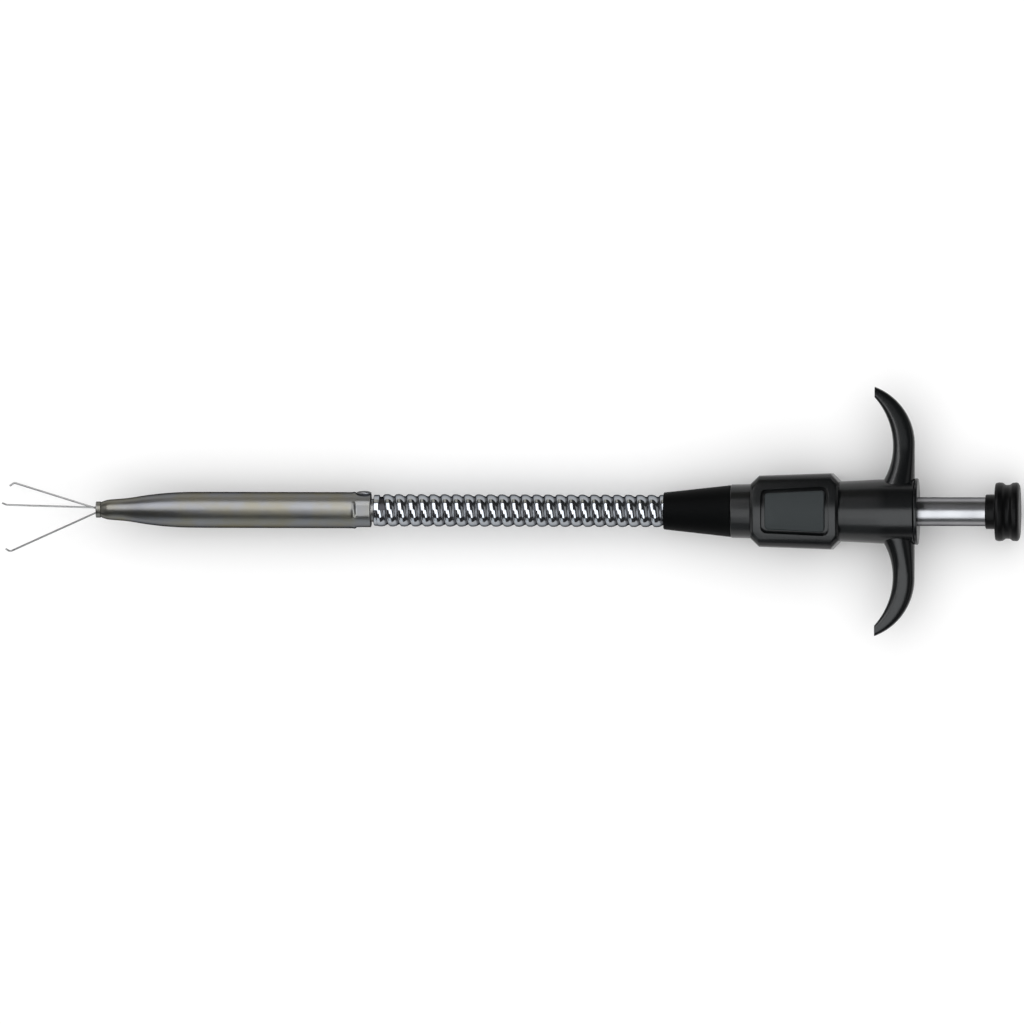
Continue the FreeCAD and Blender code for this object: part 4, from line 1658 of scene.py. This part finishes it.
@dataclass(frozen=True)
class SoftBox:
    """A rectangular lamp that hangs over a stretch of the tool, at an angle to one side of straight up."""

    name: str
    stretch: Point
    angles: Point
    radiance: float
    colour: Colour = (1.0, 1.0, 1.0)
    distance: float = 0.5
    lights: bool = False
    mirrored: bool = True

    def build(self, yaw: float) -> None:
        """Hangs the lamp where the camera sees it mirrored in the stretch.

        Args:
            yaw: How far the camera is turned round the Y axis, in degrees.
        """
        middle, spread = math.radians(sum(self.angles) / 2), math.radians(self.angles[1] - self.angles[0])
        data = bpy.data.lights.new(self.name, "AREA")
        data.shape = "RECTANGLE"
        data.size = (self.stretch[1] - self.stretch[0]) * MM
        data.size_y = 2 * self.distance * math.tan(spread / 2)
        data.energy = self.radiance * math.pi * data.size * data.size_y
        data.color = self.colour
        lamp = bpy.data.objects.new(self.name, data)
        x = sum(self.stretch) / 2 * MM - self.distance * math.tan(math.radians(yaw))
        foot = Vector((x, 0, AXIS * MM))
        away = Vector((0, -math.sin(middle), math.cos(middle)))
        lamp.location = foot + away * self.distance
        lamp.rotation_euler = (-away).to_track_quat("-Z", "Y").to_euler()
        lamp.visible_camera = False
        lamp.visible_diffuse = self.lights
        lamp.visible_glossy = self.mirrored
        bpy.context.scene.collection.objects.link(lamp)


@dataclass(frozen=True)
class Studio:
    """Pale floor, soft lamps and a dim room."""

    floor_half: float = 6.0
    floor_colour: Colour = (0.95, 0.95, 0.95)
    room: float = 0.05
    lamps: tuple[SoftBox, ...] = (
        SoftBox("sky_box", (-1600, 1600), (-58, 58), 1.42, distance=1.0, lights=True, mirrored=False),
        SoftBox("nozzle_box", (-420, -108), (-54, -2), 3.0, (0.97, 0.97, 1.0)),
        SoftBox("hose_box", (-106, -42), (-54, 25), 3.8, distance=0.28),
        SoftBox("handle_box", (-26, 95), (-8, 52), 3.6, (0.95, 0.98, 1.0), distance=0.3),
        SoftBox("low_box", (-260, -36), (58, 112), 1.1, (0.92, 0.97, 1.0)),
        SoftBox("warm_box", (-260, -45), (-112, -62), 0.7, (1.0, 0.95, 0.82)),
        SoftBox("end_box", (500, 1100), (-50, 50), 0.5),
        SoftBox("tip_box", (-1300, -700), (-50, 50), 0.8),
    )

    def build(self, yaw: float) -> None:
        """Lays the floor, dims the room and hangs the lamps.

        Args:
            yaw: How far the camera is turned round the Y axis, in degrees.
        """
        self.lay_floor()
        world = bpy.data.worlds.new("room")
        world.use_nodes = True
        world.node_tree.nodes["Background"].inputs["Color"].default_value = (1, 1, 1, 1)
        world.node_tree.nodes["Background"].inputs["Strength"].default_value = self.room
        bpy.context.scene.world = world
        for lamp in self.lamps:
            lamp.build(yaw)

    def lay_floor(self) -> None:
        """Lays the pale floor."""
        bm = bmesh.new()
        bmesh.ops.create_grid(bm, x_segments=1, y_segments=1, size=self.floor_half)
        mesh = bpy.data.meshes.new("floor")
        bm.to_mesh(mesh)
        bm.free()
        floor = bpy.data.objects.new("floor", mesh)
        bpy.context.scene.collection.objects.link(floor)
        made = bpy.data.materials.new("floor_paper")
        made.use_nodes = True
        made.node_tree.nodes.clear()
        maker = NodeMaker(made.node_tree)
        paper = maker.add("ShaderNodeBsdfDiffuse", {}, {"Color": rgba(self.floor_colour)})
        maker.add("ShaderNodeOutputMaterial", {}, {"Surface": paper})
        mesh.materials.append(made)


@dataclass(frozen=True)
class PhotoCamera:
    """The camera at the photograph's viewing angle."""

    yaw: float = 4.0
    distance: float = 8.0
    centre: Point = (-72.3, -0.36)
    mm_per_pixel: float = 0.2545
    frame_pixels: int = 1024
    roll: float = 0.14

    def build(self) -> None:
        """Sets the camera up."""
        data = bpy.data.cameras.new("photo_camera")
        data.sensor_width = 36.0
        width = self.mm_per_pixel * self.frame_pixels * MM
        data.lens = data.sensor_width * self.distance / width
        data.clip_end = 20.0
        camera = bpy.data.objects.new("photo_camera", data)
        bpy.context.scene.collection.objects.link(camera)
        target = Vector((self.centre[0], self.centre[1], AXIS)) * MM
        turn = Matrix.Rotation(math.radians(self.yaw), 4, "Y")
        turn @= Matrix.Rotation(math.radians(self.roll), 4, "Z")
        camera.matrix_world = Matrix.Translation(target) @ turn @ Matrix.Translation((0, 0, self.distance))
        bpy.context.scene.camera = camera


def main() -> None:
    """Builds the tool from its tip to its knob, then the studio round it."""
    logging.basicConfig(level=logging.INFO, format="%(name)s: %(message)s")
    bpy.context.scene.view_settings.view_transform = "Standard"
    PhotoCamera().build()
    wire = WireRecipe()
    Nozzle().build()
    for claw in CLAWS:
        claw.build(wire)
    Hose().build(wire)
    StrainRelief().build()
    Housing().build()
    InsetPanel().build()
    Barrel().build()
    Wing(1).build()
    Wing(-1).build()
    EndCap().build()
    Plunger().build()
    dress("return_spring", WIRE)
    Studio().build(PhotoCamera.yaw)


if __name__ == "__main__":
    main()
